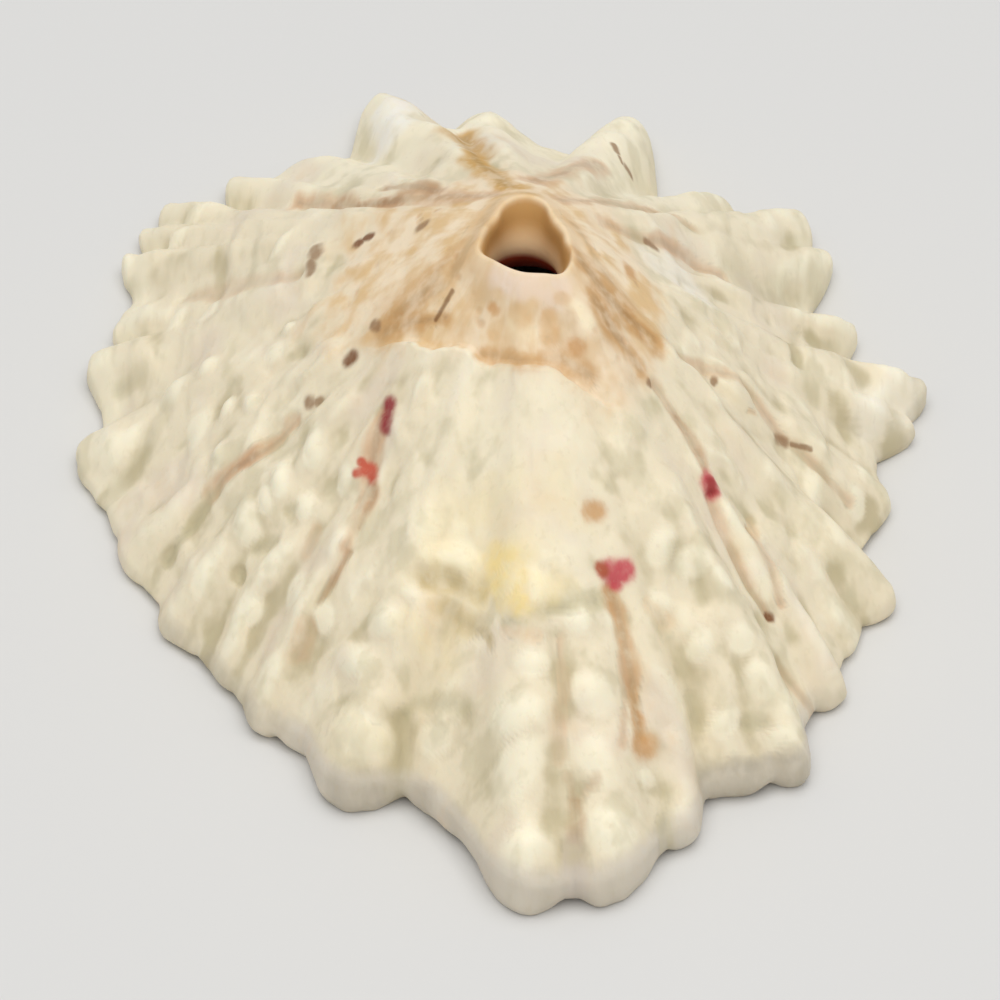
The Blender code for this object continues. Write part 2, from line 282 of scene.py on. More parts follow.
# The beads that the photograph shows one by one
BEADS = (
    Bead(520, 850, 0.85, 0.85, 0.45), Bead(612, 835, 0.75, 0.95, 0.45), Bead(363, 735, 0.95, 0.90, 0.45),
    Bead(358, 660, 0.75, 0.60, 0.35), Bead(386, 620, 0.65, 0.65, 0.35), Bead(433, 741, 0.65, 0.60, 0.25),
    Bead(513, 770, 0.75, 1.10, 0.20), Bead(510, 715, 0.70, 0.80, 0.22), Bead(533, 662, 0.60, 0.50, 0.18),
    Bead(592, 695, 0.70, 0.80, 0.25), Bead(592, 755, 0.65, 0.70, 0.18), Bead(645, 777, 0.35, 0.35, 0.18),
    Bead(692, 835, 0.50, 0.70, 0.20), Bead(697, 645, 0.42, 0.55, 0.22), Bead(655, 603, 0.45, 0.50, 0.15),
    Bead(460, 560, 0.75, 0.50, 0.28), Bead(415, 597, 0.40, 0.30, 0.15), Bead(541, 588, 0.40, 0.60, 0.18),
    Bead(507, 582, 0.60, 0.55, 0.12), Bead(577, 620, 0.40, 0.40, 0.15), Bead(430, 520, 0.60, 0.45, 0.15),
    Bead(668, 690, 0.35, 0.90, 0.15), Bead(683, 745, 0.45, 0.60, 0.18), Bead(760, 678, 0.60, 0.80, 0.30),
    Bead(790, 702, 0.55, 0.60, 0.28), Bead(725, 725, 0.50, 0.50, 0.25), Bead(778, 740, 0.60, 0.45, 0.25),
    Bead(738, 640, 0.50, 0.60, 0.15), Bead(755, 578, 0.35, 0.90, 0.15), Bead(807, 490, 0.55, 0.60, 0.20),
    Bead(855, 505, 0.50, 0.60, 0.22), Bead(690, 560, 0.60, 0.60, 0.12), Bead(658, 545, 0.50, 0.60, 0.10),
    Bead(178, 318, 0.45, 0.45, 0.18), Bead(210, 313, 0.45, 0.45, 0.15), Bead(290, 330, 0.30, 0.35, 0.22),
    Bead(275, 352, 0.40, 0.60, 0.18), Bead(213, 373, 0.45, 0.50, 0.28), Bead(177, 393, 0.60, 0.70, 0.32),
    Bead(255, 407, 0.35, 0.40, 0.25), Bead(233, 411, 0.35, 0.40, 0.18), Bead(202, 434, 0.60, 0.65, 0.25),
    Bead(223, 457, 0.45, 0.45, 0.22), Bead(315, 447, 0.45, 0.65, 0.18), Bead(283, 480, 0.50, 0.55, 0.28),
    Bead(250, 523, 0.65, 0.65, 0.32), Bead(268, 501, 0.45, 0.45, 0.15), Bead(307, 507, 0.45, 0.50, 0.18),
    Bead(277, 560, 0.45, 0.60, 0.20), Bead(300, 592, 0.50, 0.75, 0.22), Bead(253, 612, 0.45, 0.60, 0.20),
    Bead(207, 580, 0.45, 0.80, 0.18), Bead(330, 620, 0.45, 0.60, 0.15), Bead(345, 480, 0.35, 0.60, 0.12),
    Bead(175, 240, 0.40, 0.50, 0.20), Bead(196, 216, 0.50, 0.50, 0.20), Bead(285, 246, 0.70, 0.35, 0.15),
    Bead(110, 455, 0.55, 0.80, 0.25), Bead(130, 440, 0.45, 0.60, 0.18), Bead(100, 365, 0.50, 0.60, 0.20),
)

# The soft stains and streaks of painted shade and painted highlight, and their furrows, each laid over those
# before it
STREAKS = (
    Streak(Tint.PEACH, 1.60, 0.50, 0.00, ((480, 310), (560, 320), (620, 330))),
    Streak(Tint.TAN, 0.85, 0.95, 0.00, ((385, 328), (412, 305), (455, 270))),
    Streak(Tint.DEEP_TAN, 0.50, 0.85, 0.00, ((388, 330), (408, 322), (440, 318))),
    Streak(Tint.DEEP_TAN, 0.50, 0.55, 0.00, ((398, 316), (425, 290), (450, 262))),
    Streak(Tint.TAN, 0.55, 0.80, 0.00, ((455, 270), (476, 235), (498, 200))),
    Streak(Tint.DEEP_TAN, 0.28, 0.80, 0.00, ((478, 354), (520, 358), (562, 358), (590, 376))),
    Streak(Tint.TAN, 0.50, 0.80, 0.00, ((574, 225), (592, 252), (606, 280))),
    Streak(Tint.DEEP_TAN, 0.60, 0.95, 0.05, ((582, 262), (606, 296), (650, 338))),
    Streak(Tint.DEEP_TAN, 0.45, 0.85, 0.05, ((596, 300), (618, 340), (638, 368))),
    Streak(Tint.BLUSH, 0.55, 0.85, 0.00, ((510, 286), (560, 292))),
    Streak(Tint.CREAM_AND_HIGHLIGHT, 0.34, 0.75, 0.00, ((576, 302), (584, 322))),
    Streak(Tint.CREAM_AND_HIGHLIGHT, 0.45, 0.50, 0.00, ((516, 320), (526, 330))),
    Streak(Tint.DEEP_TAN, 0.26, 0.80, 0.00, ((548, 318), (551, 340))),
    Streak(Tint.CHALK_AND_HIGHLIGHT, 1.00, 0.85, 0.00, ((382, 108), (392, 132))),
    # Painted highlight on the big bead at the left of the near end
    Streak(Tint.CREAM_AND_HIGHLIGHT, 0.60, 0.85, 0.00, ((350, 732), (372, 736))),
    Streak(Tint.CREAM_AND_HIGHLIGHT, 1.20, 0.35, 0.00, ((800, 470), (802, 530))),
    Streak(Tint.CREAM_AND_HIGHLIGHT, 1.00, 0.38, 0.00, ((768, 655), (788, 700))),
    Streak(Tint.SHADOW_GREY, 0.28, 0.40, 0.00, ((165, 628), (205, 660), (245, 715))),
    Streak(Tint.GOLD, 0.45, 1.00, 0.00, ((464, 142), (482, 165), (512, 188))),
    Streak(Tint.GOLD, 0.50, 0.70, 0.00, ((464, 148), (478, 164))),
    Streak(Tint.GOLD, 0.60, 0.75, 0.00, ((458, 142), (482, 165), (512, 188))),
    Streak(Tint.GOLD, 0.30, 0.60, 0.00, ((512, 188), (470, 200), (440, 202))),
    Streak(Tint.GOLD, 0.28, 0.60, 0.00, ((496, 197), (514, 193), (534, 194))),
    Streak(Tint.PINK_BROWN, 0.45, 0.90, 0.12, ((300, 204), (360, 203), (430, 196), (495, 195))),
    Streak(Tint.BROWN_TAN, 0.30, 0.90, 0.10, ((336, 204), (370, 202), (405, 199))),
    Streak(Tint.BROWN_TAN, 0.30, 0.85, 0.08, ((385, 187), (415, 187), (440, 191))),
    Streak(Tint.PINK_BROWN, 0.35, 0.45, 0.08, ((185, 297), (240, 288), (300, 281))),
    Streak(Tint.PINK_BROWN, 0.32, 0.95, 0.10, ((293, 422), (262, 455), (235, 475), (210, 497))),
    Streak(Tint.OLIVE_AND_SHADE, 0.26, 0.65, 0.10, ((210, 497), (190, 530), (170, 563))),
    Streak(Tint.PINK_BROWN, 0.30, 0.80, 0.06, ((383, 415), (376, 450), (366, 495), (350, 545))),
    Streak(Tint.BROWN_TAN, 0.12, 0.80, 0.05, ((374, 484), (370, 503), (361, 530))),
    Streak(Tint.BROWN_TAN, 0.16, 0.70, 0.08, ((352, 553), (337, 580), (322, 604))),
    Streak(Tint.PINK_BROWN, 0.32, 0.45, 0.04, ((316, 530), (309, 552))),
    Streak(Tint.PINK_BROWN, 0.30, 0.65, 0.06, ((308, 625), (300, 658))),
    Streak(Tint.PINK_BROWN, 0.55, 0.80, 0.05, ((530, 182), (565, 172), (600, 163))),
    Streak(Tint.PINK_BROWN, 0.36, 0.80, 0.06, ((561, 200), (610, 203), (650, 209), (690, 222))),
    Streak(Tint.PINK_BROWN, 0.26, 0.75, 0.08, ((600, 222), (638, 238), (680, 250), (721, 281))),
    Streak(Tint.PINK_BROWN, 0.24, 0.55, 0.08, ((676, 357), (712, 372), (746, 388), (791, 442), (848, 504))),
    Streak(Tint.PINK_BROWN, 0.24, 0.75, 0.10, ((655, 385), (685, 428), (706, 470))),
    Streak(Tint.BROWN_TAN, 0.24, 0.80, 0.04, ((676, 416), (690, 436), (704, 462))),
    Streak(Tint.CHALK_AND_HIGHLIGHT, 0.80, 0.50, 0.00, ((652, 262), (672, 274), (692, 290))),
    Streak(Tint.PINK_BROWN, 0.20, 0.65, 0.12, ((713, 495), (728, 540), (745, 585), (765, 617))),
    Streak(Tint.PINK_BROWN, 0.20, 0.55, 0.06, ((775, 660), (790, 680), (808, 705))),
    Streak(Tint.PINK_BROWN, 0.18, 0.60, 0.08, ((748, 530), (765, 560), (782, 605))),
    Streak(Tint.ORANGE, 0.32, 1.00, 0.10, ((613, 590), (622, 630), (633, 690), (640, 735))),
    Streak(Tint.PINK_BROWN, 0.18, 0.60, 0.06, ((619, 655), (625, 697), (623, 742))),
    Streak(Tint.PINK_BROWN, 0.26, 0.45, 0.06, ((558, 640), (561, 700), (560, 760))),
    Streak(Tint.BROWN_TAN, 0.20, 0.45, 0.03, ((568, 777), (576, 800))),
    Streak(Tint.BROWN_TAN, 0.20, 0.40, 0.03, ((594, 777), (580, 800))),
    Streak(Tint.BROWN_TAN, 0.24, 0.60, 0.05, ((576, 800), (579, 838))),
    # Painted shade between the two large near beads
    Streak(Tint.MAUVE_SHADE, 0.40, 0.60, 0.05, ((573, 852), (574, 888))),
    # Painted shadow beside the yellow patch, in two streaks
    Streak(Tint.KHAKI_SHADOW, 0.42, 1.00, 0.06, ((428, 578), (455, 583), (480, 590))),
    Streak(Tint.KHAKI_SHADOW, 0.42, 0.95, 0.06, ((448, 608), (468, 622), (488, 636))),
    Streak(Tint.OLIVE_AND_SHADE, 0.35, 0.60, 0.10, ((400, 720), (401, 755), (400, 788))),
    Streak(Tint.OLIVE_AND_SHADE, 0.30, 0.60, 0.06, ((405, 716), (435, 704), (466, 706))),
    Streak(Tint.OLIVE_AND_SHADE, 0.32, 0.75, 0.05, ((505, 622), (528, 613), (560, 606), (592, 600))),
    Streak(Tint.TAN, 0.22, 0.45, 0.04, ((504, 632), (540, 634))),
    # Painted shade between the near beads
    Streak(Tint.OLIVE_AND_SHADE, 0.32, 0.50, 0.06, ((686, 700), (697, 724))),
    Streak(Tint.OLIVE_AND_SHADE, 0.26, 0.50, 0.05, ((672, 548), (673, 566))),
    Streak(Tint.TAN, 0.30, 0.35, 0.03, ((647, 603), (663, 622))),
    Streak(Tint.OLIVE_AND_SHADE, 0.36, 0.60, 0.08, ((668, 795), (662, 832))),
    Streak(Tint.OLIVE_AND_SHADE, 0.26, 0.55, 0.10, ((243, 574), (243, 580))),
    Streak(Tint.OLIVE_AND_SHADE, 0.26, 0.50, 0.06, ((260, 551), (276, 545))),
    Streak(Tint.OLIVE_AND_SHADE, 0.22, 0.45, 0.05, ((290, 512), (297, 507))),
    # Painted shade on the left flank, in two streaks
    Streak(Tint.OLIVE_AND_SHADE, 0.45, 0.45, 0.06, ((118, 390), (142, 374))),
    Streak(Tint.OLIVE_AND_SHADE, 0.50, 0.35, 0.06, ((163, 413), (145, 450), (127, 480))),
    Streak(Tint.OLIVE_AND_SHADE, 0.35, 0.35, 0.04, ((299, 344), (308, 353))),
    Streak(Tint.OLIVE_AND_SHADE, 0.22, 0.50, 0.04, ((795, 338), (796, 360))),
    Streak(Tint.OLIVE_AND_SHADE, 0.90, 0.50, 0.00, ((735, 285), (765, 300), (785, 312))),
    # Painted highlight on the right tooth
    Streak(Tint.CHALK_AND_HIGHLIGHT, 1.10, 0.35, 0.00, ((872, 420), (890, 405), (912, 392))),
    Streak(Tint.OLIVE_AND_SHADE, 0.30, 0.55, 0.05, ((745, 728), (766, 721))),
    # Painted shade on the right flank
    Streak(Tint.OLIVE_AND_SHADE, 0.50, 0.18, 0.03, ((822, 475), (832, 520), (836, 572))),
    # Painted shadow on the margin's lip, left and right of the near end
    Streak(Tint.SHADOW_GREY, 0.30, 0.45, 0.00, ((330, 792), (380, 803), (420, 801))),
    Streak(Tint.SHADOW_GREY, 0.42, 0.70, 0.00, ((702, 776), (750, 769), (800, 762))),
    Streak(Tint.TAN, 0.24, 0.60, 0.03, ((749, 523), (754, 531))),
    Streak(Tint.TAN, 0.14, 0.60, 0.02, ((744, 413), (751, 414))),
    Streak(Tint.YELLOW, 1.60, 0.26, 0.00, ((452, 600), (480, 545), (525, 492))),
    Streak(Tint.YELLOW, 0.46, 1.00, 0.00, ((498, 562), (500, 584), (502, 606))),
    Streak(Tint.YELLOW, 0.36, 0.90, 0.00, ((516, 562), (520, 584), (518, 604))),
    Streak(Tint.CREAM_AND_HIGHLIGHT, 0.20, 0.90, 0.00, ((534, 566), (538, 596))),
    Streak(Tint.CREAM_AND_HIGHLIGHT, 0.20, 0.80, 0.00, ((546, 556), (564, 561))),
    Streak(Tint.CREAM_AND_HIGHLIGHT, 0.32, 0.80, 0.00, ((462, 530), (468, 552), (472, 572))),
    Streak(Tint.YELLOW, 0.85, 0.40, 0.00, ((490, 582), (535, 586))),
    Streak(Tint.CREAM_AND_HIGHLIGHT, 0.80, 0.30, 0.00, ((420, 520), (450, 556))),
)

# The small marks with clear edges
MARKS = (
    Mark(Tint.CRIMSON, 0.22, (390, 406), (389, 426)), Mark(Tint.SCARLET, 0.13, (358, 474), (368, 468)),
    Mark(Tint.SCARLET, 0.12, (364, 462), (368, 470)), Mark(Tint.SCARLET, 0.21, (367, 471), (372, 477)),
    Mark(Tint.RED, 0.27, (607, 570), (626, 568)), Mark(Tint.RED, 0.25, (611, 574), (621, 574)),
    Mark(Tint.RED, 0.18, (616, 578), (617, 586)), Mark(Tint.RUST, 0.17, (599, 568), (604, 573)),
    Mark(Tint.RED, 0.25, (710, 480), (713, 490)), Mark(Tint.WINE, 0.17, (711, 483), (714, 491)),
    Mark(Tint.ORANGE, 0.26, (592, 510), (596, 512)), Mark(Tint.ORANGE, 0.34, (638, 744), (646, 746)),
    Mark(Tint.BROWN, 0.14, (765, 618), (769, 620)), Mark(Tint.BROWN, 0.18, (348, 360), (352, 356)),
    Mark(Tint.GREY_BROWN, 0.17, (309, 403), (312, 402)), Mark(Tint.GREY_BROWN, 0.12, (318, 401), (321, 399)),
    Mark(Tint.GREY_BROWN, 0.15, (374, 324), (376, 326)), Mark(Tint.BROWN, 0.17, (357, 243), (361, 243)),
    Mark(Tint.BROWN, 0.13, (366, 238), (370, 237)), Mark(Tint.GREY_BROWN, 0.21, (319, 256), (320, 262)),
    Mark(Tint.GREY_BROWN, 0.16, (315, 269), (315, 278)), Mark(Tint.GREY_BROWN, 0.10, (712, 381), (713, 383)),
    Mark(Tint.GREY_BROWN, 0.15, (780, 438), (786, 441)), Mark(Tint.GREY_BROWN, 0.07, (791, 443), (808, 450)),
    Mark(Tint.ORANGE, 0.22, (627, 271), (630, 274)), Mark(Tint.ORANGE, 0.21, (575, 346), (578, 348)),
    Mark(Tint.ORANGE, 0.14, (489, 309), (492, 311)), Mark(Tint.TAN, 0.13, (491, 334), (493, 336)),
    Mark(Tint.TAN, 0.22, (515, 313), (522, 318)), Mark(Tint.TAN, 0.20, (550, 318), (550, 336)),
    Mark(Tint.TAN, 0.16, (561, 297), (564, 299)), Mark(Tint.UMBER, 0.06, (448, 291), (431, 319)),
    Mark(Tint.GREY_BROWN, 0.16, (420, 229), (426, 226)), Mark(Tint.GREY_BROWN, 0.12, (614, 145), (618, 153)),
    Mark(Tint.GREY_BROWN, 0.08, (619, 156), (622, 163)), Mark(Tint.GREY_BROWN, 0.16, (624, 167), (630, 175)),
    Mark(Tint.GREY_BROWN, 0.14, (646, 244), (652, 249)), Mark(Tint.GREY_BROWN, 0.10, (646, 382), (648, 384)),
)

# How strong a mark's core is where it is faint
FAINT_CORES = {Tint.GREY_BROWN: 0.70, Tint.TAN: 0.45, Tint.ORANGE: 0.75, Tint.UMBER: 0.65}


def ramp(value: Array, start: float = 0.0, end: float = 1.0) -> Array:
    """Ease from 0 at start to 1 at end: three of the square less two of the cube of the way there.

    Args:
        value: what is eased.
        start, end: where the ease starts and ends; either may be the larger.

    Returns:
        Numbers from 0 to 1.
    """
    way = np.clip((value - start) / (end - start), 0.0, 1.0)
    return way * way * (3.0 - 2.0 * way)


def turn_between(azimuth: Array, centre: float) -> Array:
    """Give the signed turn from centre to azimuth, in degrees from -180 to 180."""
    return (azimuth - centre + 180.0) % 360.0 - 180.0


def closed_curve(points: tuple, azimuth: Array) -> Array:
    """Read a smooth closed curve, a cubic between each two points that keeps their slopes.

    Args:
        points: (azimuth, value) pairs in rising order.
        azimuth: where to read the curve, from 0 to 360.

    Returns:
        The curve's values there.
    """
    knots, values = np.array(points, float).T
    knots = np.concatenate([knots - 360.0, knots, knots + 360.0])
    values = np.tile(values, 3)
    slopes = np.gradient(values, knots)
    place = np.searchsorted(knots, azimuth, side="right") - 1
    span = knots[place + 1] - knots[place]
    part = (azimuth - knots[place]) / span
    ease = ramp(part)
    pull = slopes[place] * (1.0 - part) - slopes[place + 1] * part
    return values[place] * (1.0 - ease) + values[place + 1] * ease + span * part * (1.0 - part) * pull


def oval(azimuth: Array, half_x: float, half_y: float) -> Array:
    """Give an oval's radius: one over the length of (cosine / half_x, sine / half_y)."""
    angle = np.radians(azimuth)
    return 1.0 / np.hypot(np.cos(angle) / half_x, np.sin(angle) / half_y)


def curve_through(rings: list[Ring], steps: int) -> list[Ring]:
    """Draw a smooth profile through rings, by a cubic whose slope at a ring joins its neighbours.

    Args:
        rings: the profile's (radius, height) rings; the first and last only give the slopes.
        steps: how many rings are drawn for each gap.

    Returns:
        The drawn rings, from the second ring up to but without the last but one.
    """
    drawn = []
    for corners in zip(rings, rings[1:], rings[2:], rings[3:]):
        for step in range(steps):
            part = step / steps
            square, cube = part**2, part**3
            weights = (
                -0.5 * part + square - 0.5 * cube, 1.0 - 2.5 * square + 1.5 * cube,
                0.5 * part + 2.0 * square - 1.5 * cube, -0.5 * square + 0.5 * cube,
            )
            drawn.append(tuple(sum(w * c[axis] for w, c in zip(weights, corners)) for axis in (0, 1)))
    return drawn


def blurred(field: Array, reach: int) -> Array:
    """Average a field over its neighbours: a box down the rings, then one round them."""
    width = 2 * reach + 1
    padded = np.pad(field, ((reach, reach), (0, 0)), mode="edge")
    rows = sum(padded[step : step + len(field)] for step in range(width)) / width
    return sum(np.roll(rows, step, axis=1) for step in range(-reach, reach + 1)) / width


@dataclass(frozen=True)
class Bed:
    """Coordinates whose grain is drawn out: down the long far flank, and a little with height."""

    far_start: float = -0.9
    far_ease: float = 1.5
    far_squeeze: float = 0.65
    height_share: float = 0.35

    def squeezed(self, y: "Array | Value", past: "Array | Value") -> "Array | Value":
        """Squeeze a distance along the shell, by a share of past squared over past and the ease.

        Args:
            y: the distance.
            past: how far it is past far_start, or 0.

        Returns:
            The squeezed distance.
        """
        return y - past * past / (past + self.far_ease) * self.far_squeeze

    def of(self, points: Array) -> Array:
        """Give the coordinates of points, as (..., 3)."""
        x, y, z = np.moveaxis(points, -1, 0)
        past = np.maximum(y - self.far_start, 0.0)
        return np.stack([x, self.squeezed(y, past), self.height_share * z], axis=-1)


BED = Bed()


@dataclass(frozen=True)
class Grain:
    """Smooth random numbers in space, the same in every run: a seed, a cell's size, and a depth."""

    seed: int
    size: float
    depth: float = 1.0

    def _at_cell(self, cell: Array) -> Array:
        """Scramble whole-number cells, given as (..., 3), into numbers from -1 to 1."""
        mixed = self.seed * SEED_FACTOR
        for axis, factor in enumerate(CELL_FACTORS):
            mixed = mixed ^ cell[..., axis] * factor
        mixed = mixed & WORD
        for shift, factor in SCRAMBLES:
            mixed = ((mixed ^ mixed >> shift) * factor) & WORD
        return (mixed ^ mixed >> LAST_SHIFT) / HALF_WORD - 1.0

    def at(self, points: Array) -> Array:
        """Read the grain: the eight cell corners round a point, each weighed by its nearness.

        Args:
            points: places in millimetres, as (..., 3).

        Returns:
            Numbers up to the depth, above and below 0.
        """
        place = points / self.size
        cell = np.floor(place).astype(np.int64)
        ease = ramp(place - cell)
        total = np.zeros(points.shape[:-1])
        for corner in itertools.product((0, 1), repeat=3):
            weight = np.prod(np.where(corner, ease, 1.0 - ease), axis=-1)
            total += weight * self._at_cell(cell + np.array(corner))
        return self.depth * total


def grains(points: Array, layers: tuple[Grain, ...]) -> Array:
    """Add up several grains at the same points."""
    return sum(layer.at(points) for layer in layers)


@dataclass(frozen=True)
class Sector:
    """A stretch of the turn round the keyhole: full up to half_width from its middle, gone at two."""

    middle: float
    half_width: float

    def at(self, azimuth: Array) -> Array:
        """Give how far each azimuth belongs to it, from 0 to 1."""
        return ramp(np.abs(turn_between(azimuth, self.middle)), 2.0 * self.half_width, self.half_width)


@dataclass(frozen=True)
class Patch:
    """A part of the flank: a sector, the shares at which it comes in and is full, and its strength."""

    sector: Sector
    shares: Span
    strength: float

    def at(self, azimuth: Array, share: Array) -> Array:
        """Give how strongly each place belongs to it."""
        return self.strength * self.sector.at(azimuth) * ramp(share, *self.shares)


@dataclass(frozen=True)
class Eye:
    """The camera as the photograph was taken, looking along +Y and down."""

    elevation: float = 46.0
    distance: float = 150.0
    target: tuple[float, float, float] = (-0.06, -4.49, 4.0)
    pixels_per_mm: float = 34.2

    def axes(self) -> tuple[Array, Array, Array]:
        """Give the directions to the camera's right, up, and back from what it sees."""
        tilt = math.radians(self.elevation)
        back = np.array([0.0, -math.cos(tilt), math.sin(tilt)])
        return np.array([1.0, 0.0, 0.0]), np.array([0.0, math.sin(tilt), math.cos(tilt)]), back

    def position(self) -> Array:
        """Give where the camera stands."""
        return np.array(self.target) + self.distance * self.axes()[2]

    def focal_pixels(self) -> float:
        """Give the focal length in pixels of the photograph."""
        return self.pixels_per_mm * self.distance

    def pixels(self, points: Array) -> Array:
        """Project points, given as (..., 3), to the photograph's pixels, as (..., 2)."""
        right, up, back = self.axes()
        offset = points - self.position()
        depth = -(offset @ back)
        middle = PICTURE_SIDE / 2
        across = middle + self.focal_pixels() * (offset @ right) / depth
        down = middle - self.focal_pixels() * (offset @ up) / depth
        return np.stack([across, down], axis=-1)


class Surface:
    """A grid of points on the flank, with the directions round it, down it and out of it."""

    def __init__(self, points: Array) -> None:
        """Measure the grid's directions by the differences between neighbours.

        Args:
            points: rings from the keyhole down, as (ring, side, 3).
        """
        self.points = points
        self.around = self._unit(np.roll(points, -1, axis=1) - np.roll(points, 1, axis=1))
        self.down = self._unit(np.gradient(points, axis=0))
        self.out = self._unit(np.cross(self.down, self.around))

    @staticmethod
    def _unit(vectors: Array) -> Array:
        """Scale vectors to a length of one."""
        return vectors / np.maximum(np.linalg.norm(vectors, axis=-1, keepdims=True), TINY)

    def seen_at(self, eye: Eye, pixels: list[Pixel]) -> list[tuple[int, int]]:
        """Look up what the photograph shows at some pixels.

        Args:
            eye: the camera.
            pixels: places in the photograph.

        Returns:
            For each pixel the (ring, side) of the nearest grid point that faces the camera.
        """
        shown = eye.pixels(self.points)
        facing = np.sum(self.out * (eye.position() - self.points), axis=-1) > 0.0
        hidden = np.where(facing, 0.0, np.inf)
        places = []
        for x, y in pixels:
            gap = np.hypot(shown[..., 0] - x, shown[..., 1] - y) + hidden
            places.append(np.unravel_index(np.argmin(gap), gap.shape))
        return places


@dataclass(frozen=True)
class FlankForm:
    """The outer flank: a ribbed cone from the keyhole's rim to the margin."""

    height: float = 12.6
    keyhole_x: float = 0.66
    keyhole_y: float = -2.38
    rim_rounding: float = 0.18
    edge_bulge: float = 0.12
    flank_bulge: float = 1.05
    tooth_breadth: float = 0.55
    rib_breadth: float = 0.9
    ribs_start: float = 0.12
    ribs_rise: float = 0.36
    ribs_grown_at: float = 0.94
    ribs_fall: float = 0.30
    ribs_fall_from: float = 0.92
    sideways_fade: float = 6.0

    @staticmethod
    def rib_shape(azimuth: Array, rib: Rib, breadth: float) -> Array:
        """Give one rib's cross section: a raised cosine to the power of the breadth."""
        turn = turn_between(azimuth, rib.azimuth)
        side = np.where(turn < 0.0, turn / rib.before, turn / rib.after)
        hump = 0.5 + 0.5 * np.cos(math.pi * np.clip(side, -1.0, 1.0))
        return hump**breadth

    def crest(self, azimuth: Array) -> Array:
        """Give how near a rib's crest each azimuth is: 1 on a crest, 0 in a groove."""
        return np.max([self.rib_shape(azimuth, rib, self.tooth_breadth) for rib in RIBS], axis=0)

    def teeth(self, azimuth: Array) -> Array:
        """Give how far the ribs reach past the groove line at the margin."""
        reaches = [rib.reach * self.rib_shape(azimuth, rib, self.tooth_breadth) for rib in RIBS]
        return np.max(reaches, axis=0)

    def edge_height(self, azimuth: Array) -> Array:
        """Give the height of the margin's edge."""
        return closed_curve(EDGE_LINE, azimuth)

    def rib_relief(self, azimuth: Array, share: Array) -> Array:
        """Give the ribs' height over the grooves.

        The ribs rise low out of the worn top, grow in the lower part of the flank, and lose a
        little on the last stretch to the margin. Neighbours add up where they overlap.

        Args:
            azimuth, share: where the points are.

        Returns:
            The height there.
        """
        relief = np.zeros_like(azimuth)
        for rib in RIBS:
            start = LATE_RIBS.get(rib.azimuth, self.ribs_start)
            rise = ramp(share, start, start + self.ribs_rise)
            relief += rib.height * self.rib_shape(azimuth, rib, self.rib_breadth) * rise
        growth = ramp(share, closed_curve(GROW_LINE, azimuth), self.ribs_grown_at)
        low = closed_curve(LOW_LINE, azimuth)
        fall = self.ribs_fall * ramp(share, self.ribs_fall_from, 1.0)
        return relief * (low + (1.0 - low) * growth) * (1.0 - fall)

    def rim(self, azimuth: Array) -> Array:
        """Give the radius at which the flank starts, just outside the keyhole's rounded rim."""
        return closed_curve(KEYHOLE_LINE, azimuth) + self.rim_rounding

    def profile(self, azimuth: Array, share: Array, relief: Array) -> Ring:
        """Place points of the flank.

        The radius grows evenly with the share, and by the teeth times a power of it; the height
        falls evenly. The relief stands square to the cone, and its sideways part fades out at
        the margin.

        Args:
            azimuth, share: where the points are.
            relief: how far each stands out of the cone.

        Returns:
            Radius from the keyhole, and height.
        """
        run = closed_curve(GROOVE_LINE, azimuth) - self.edge_bulge - self.rim(azimuth)
        edge = self.edge_height(azimuth)
        reach = self.teeth(azimuth) * share ** closed_curve(REACH_LINE, azimuth)
        radius = self.rim(azimuth) + run * share + reach
        height = edge + (self.height - edge) * (1.0 - share**self.flank_bulge)
        slope = np.arctan2(self.height - edge, run)
        outward = relief * np.sin(slope) * (1.0 - share**self.sideways_fade)
        return radius + outward, height + relief * np.cos(slope)

    def place(self, azimuth: Array, ring: Ring) -> Array:
        """Turn a radius and a height into points, as (..., 3)."""
        radius, height = ring
        angle = np.radians(azimuth)
        x = self.keyhole_x + radius * np.cos(angle)
        y = self.keyhole_y + radius * np.sin(angle)
        return np.stack([x, y, height], axis=-1)

    def ring(self, points: Array) -> Ring:
        """Turn points, given as (..., 3), back into a radius and a height."""
        x, y, height = np.moveaxis(points, -1, 0)
        return np.hypot(x - self.keyhole_x, y - self.keyhole_y), height


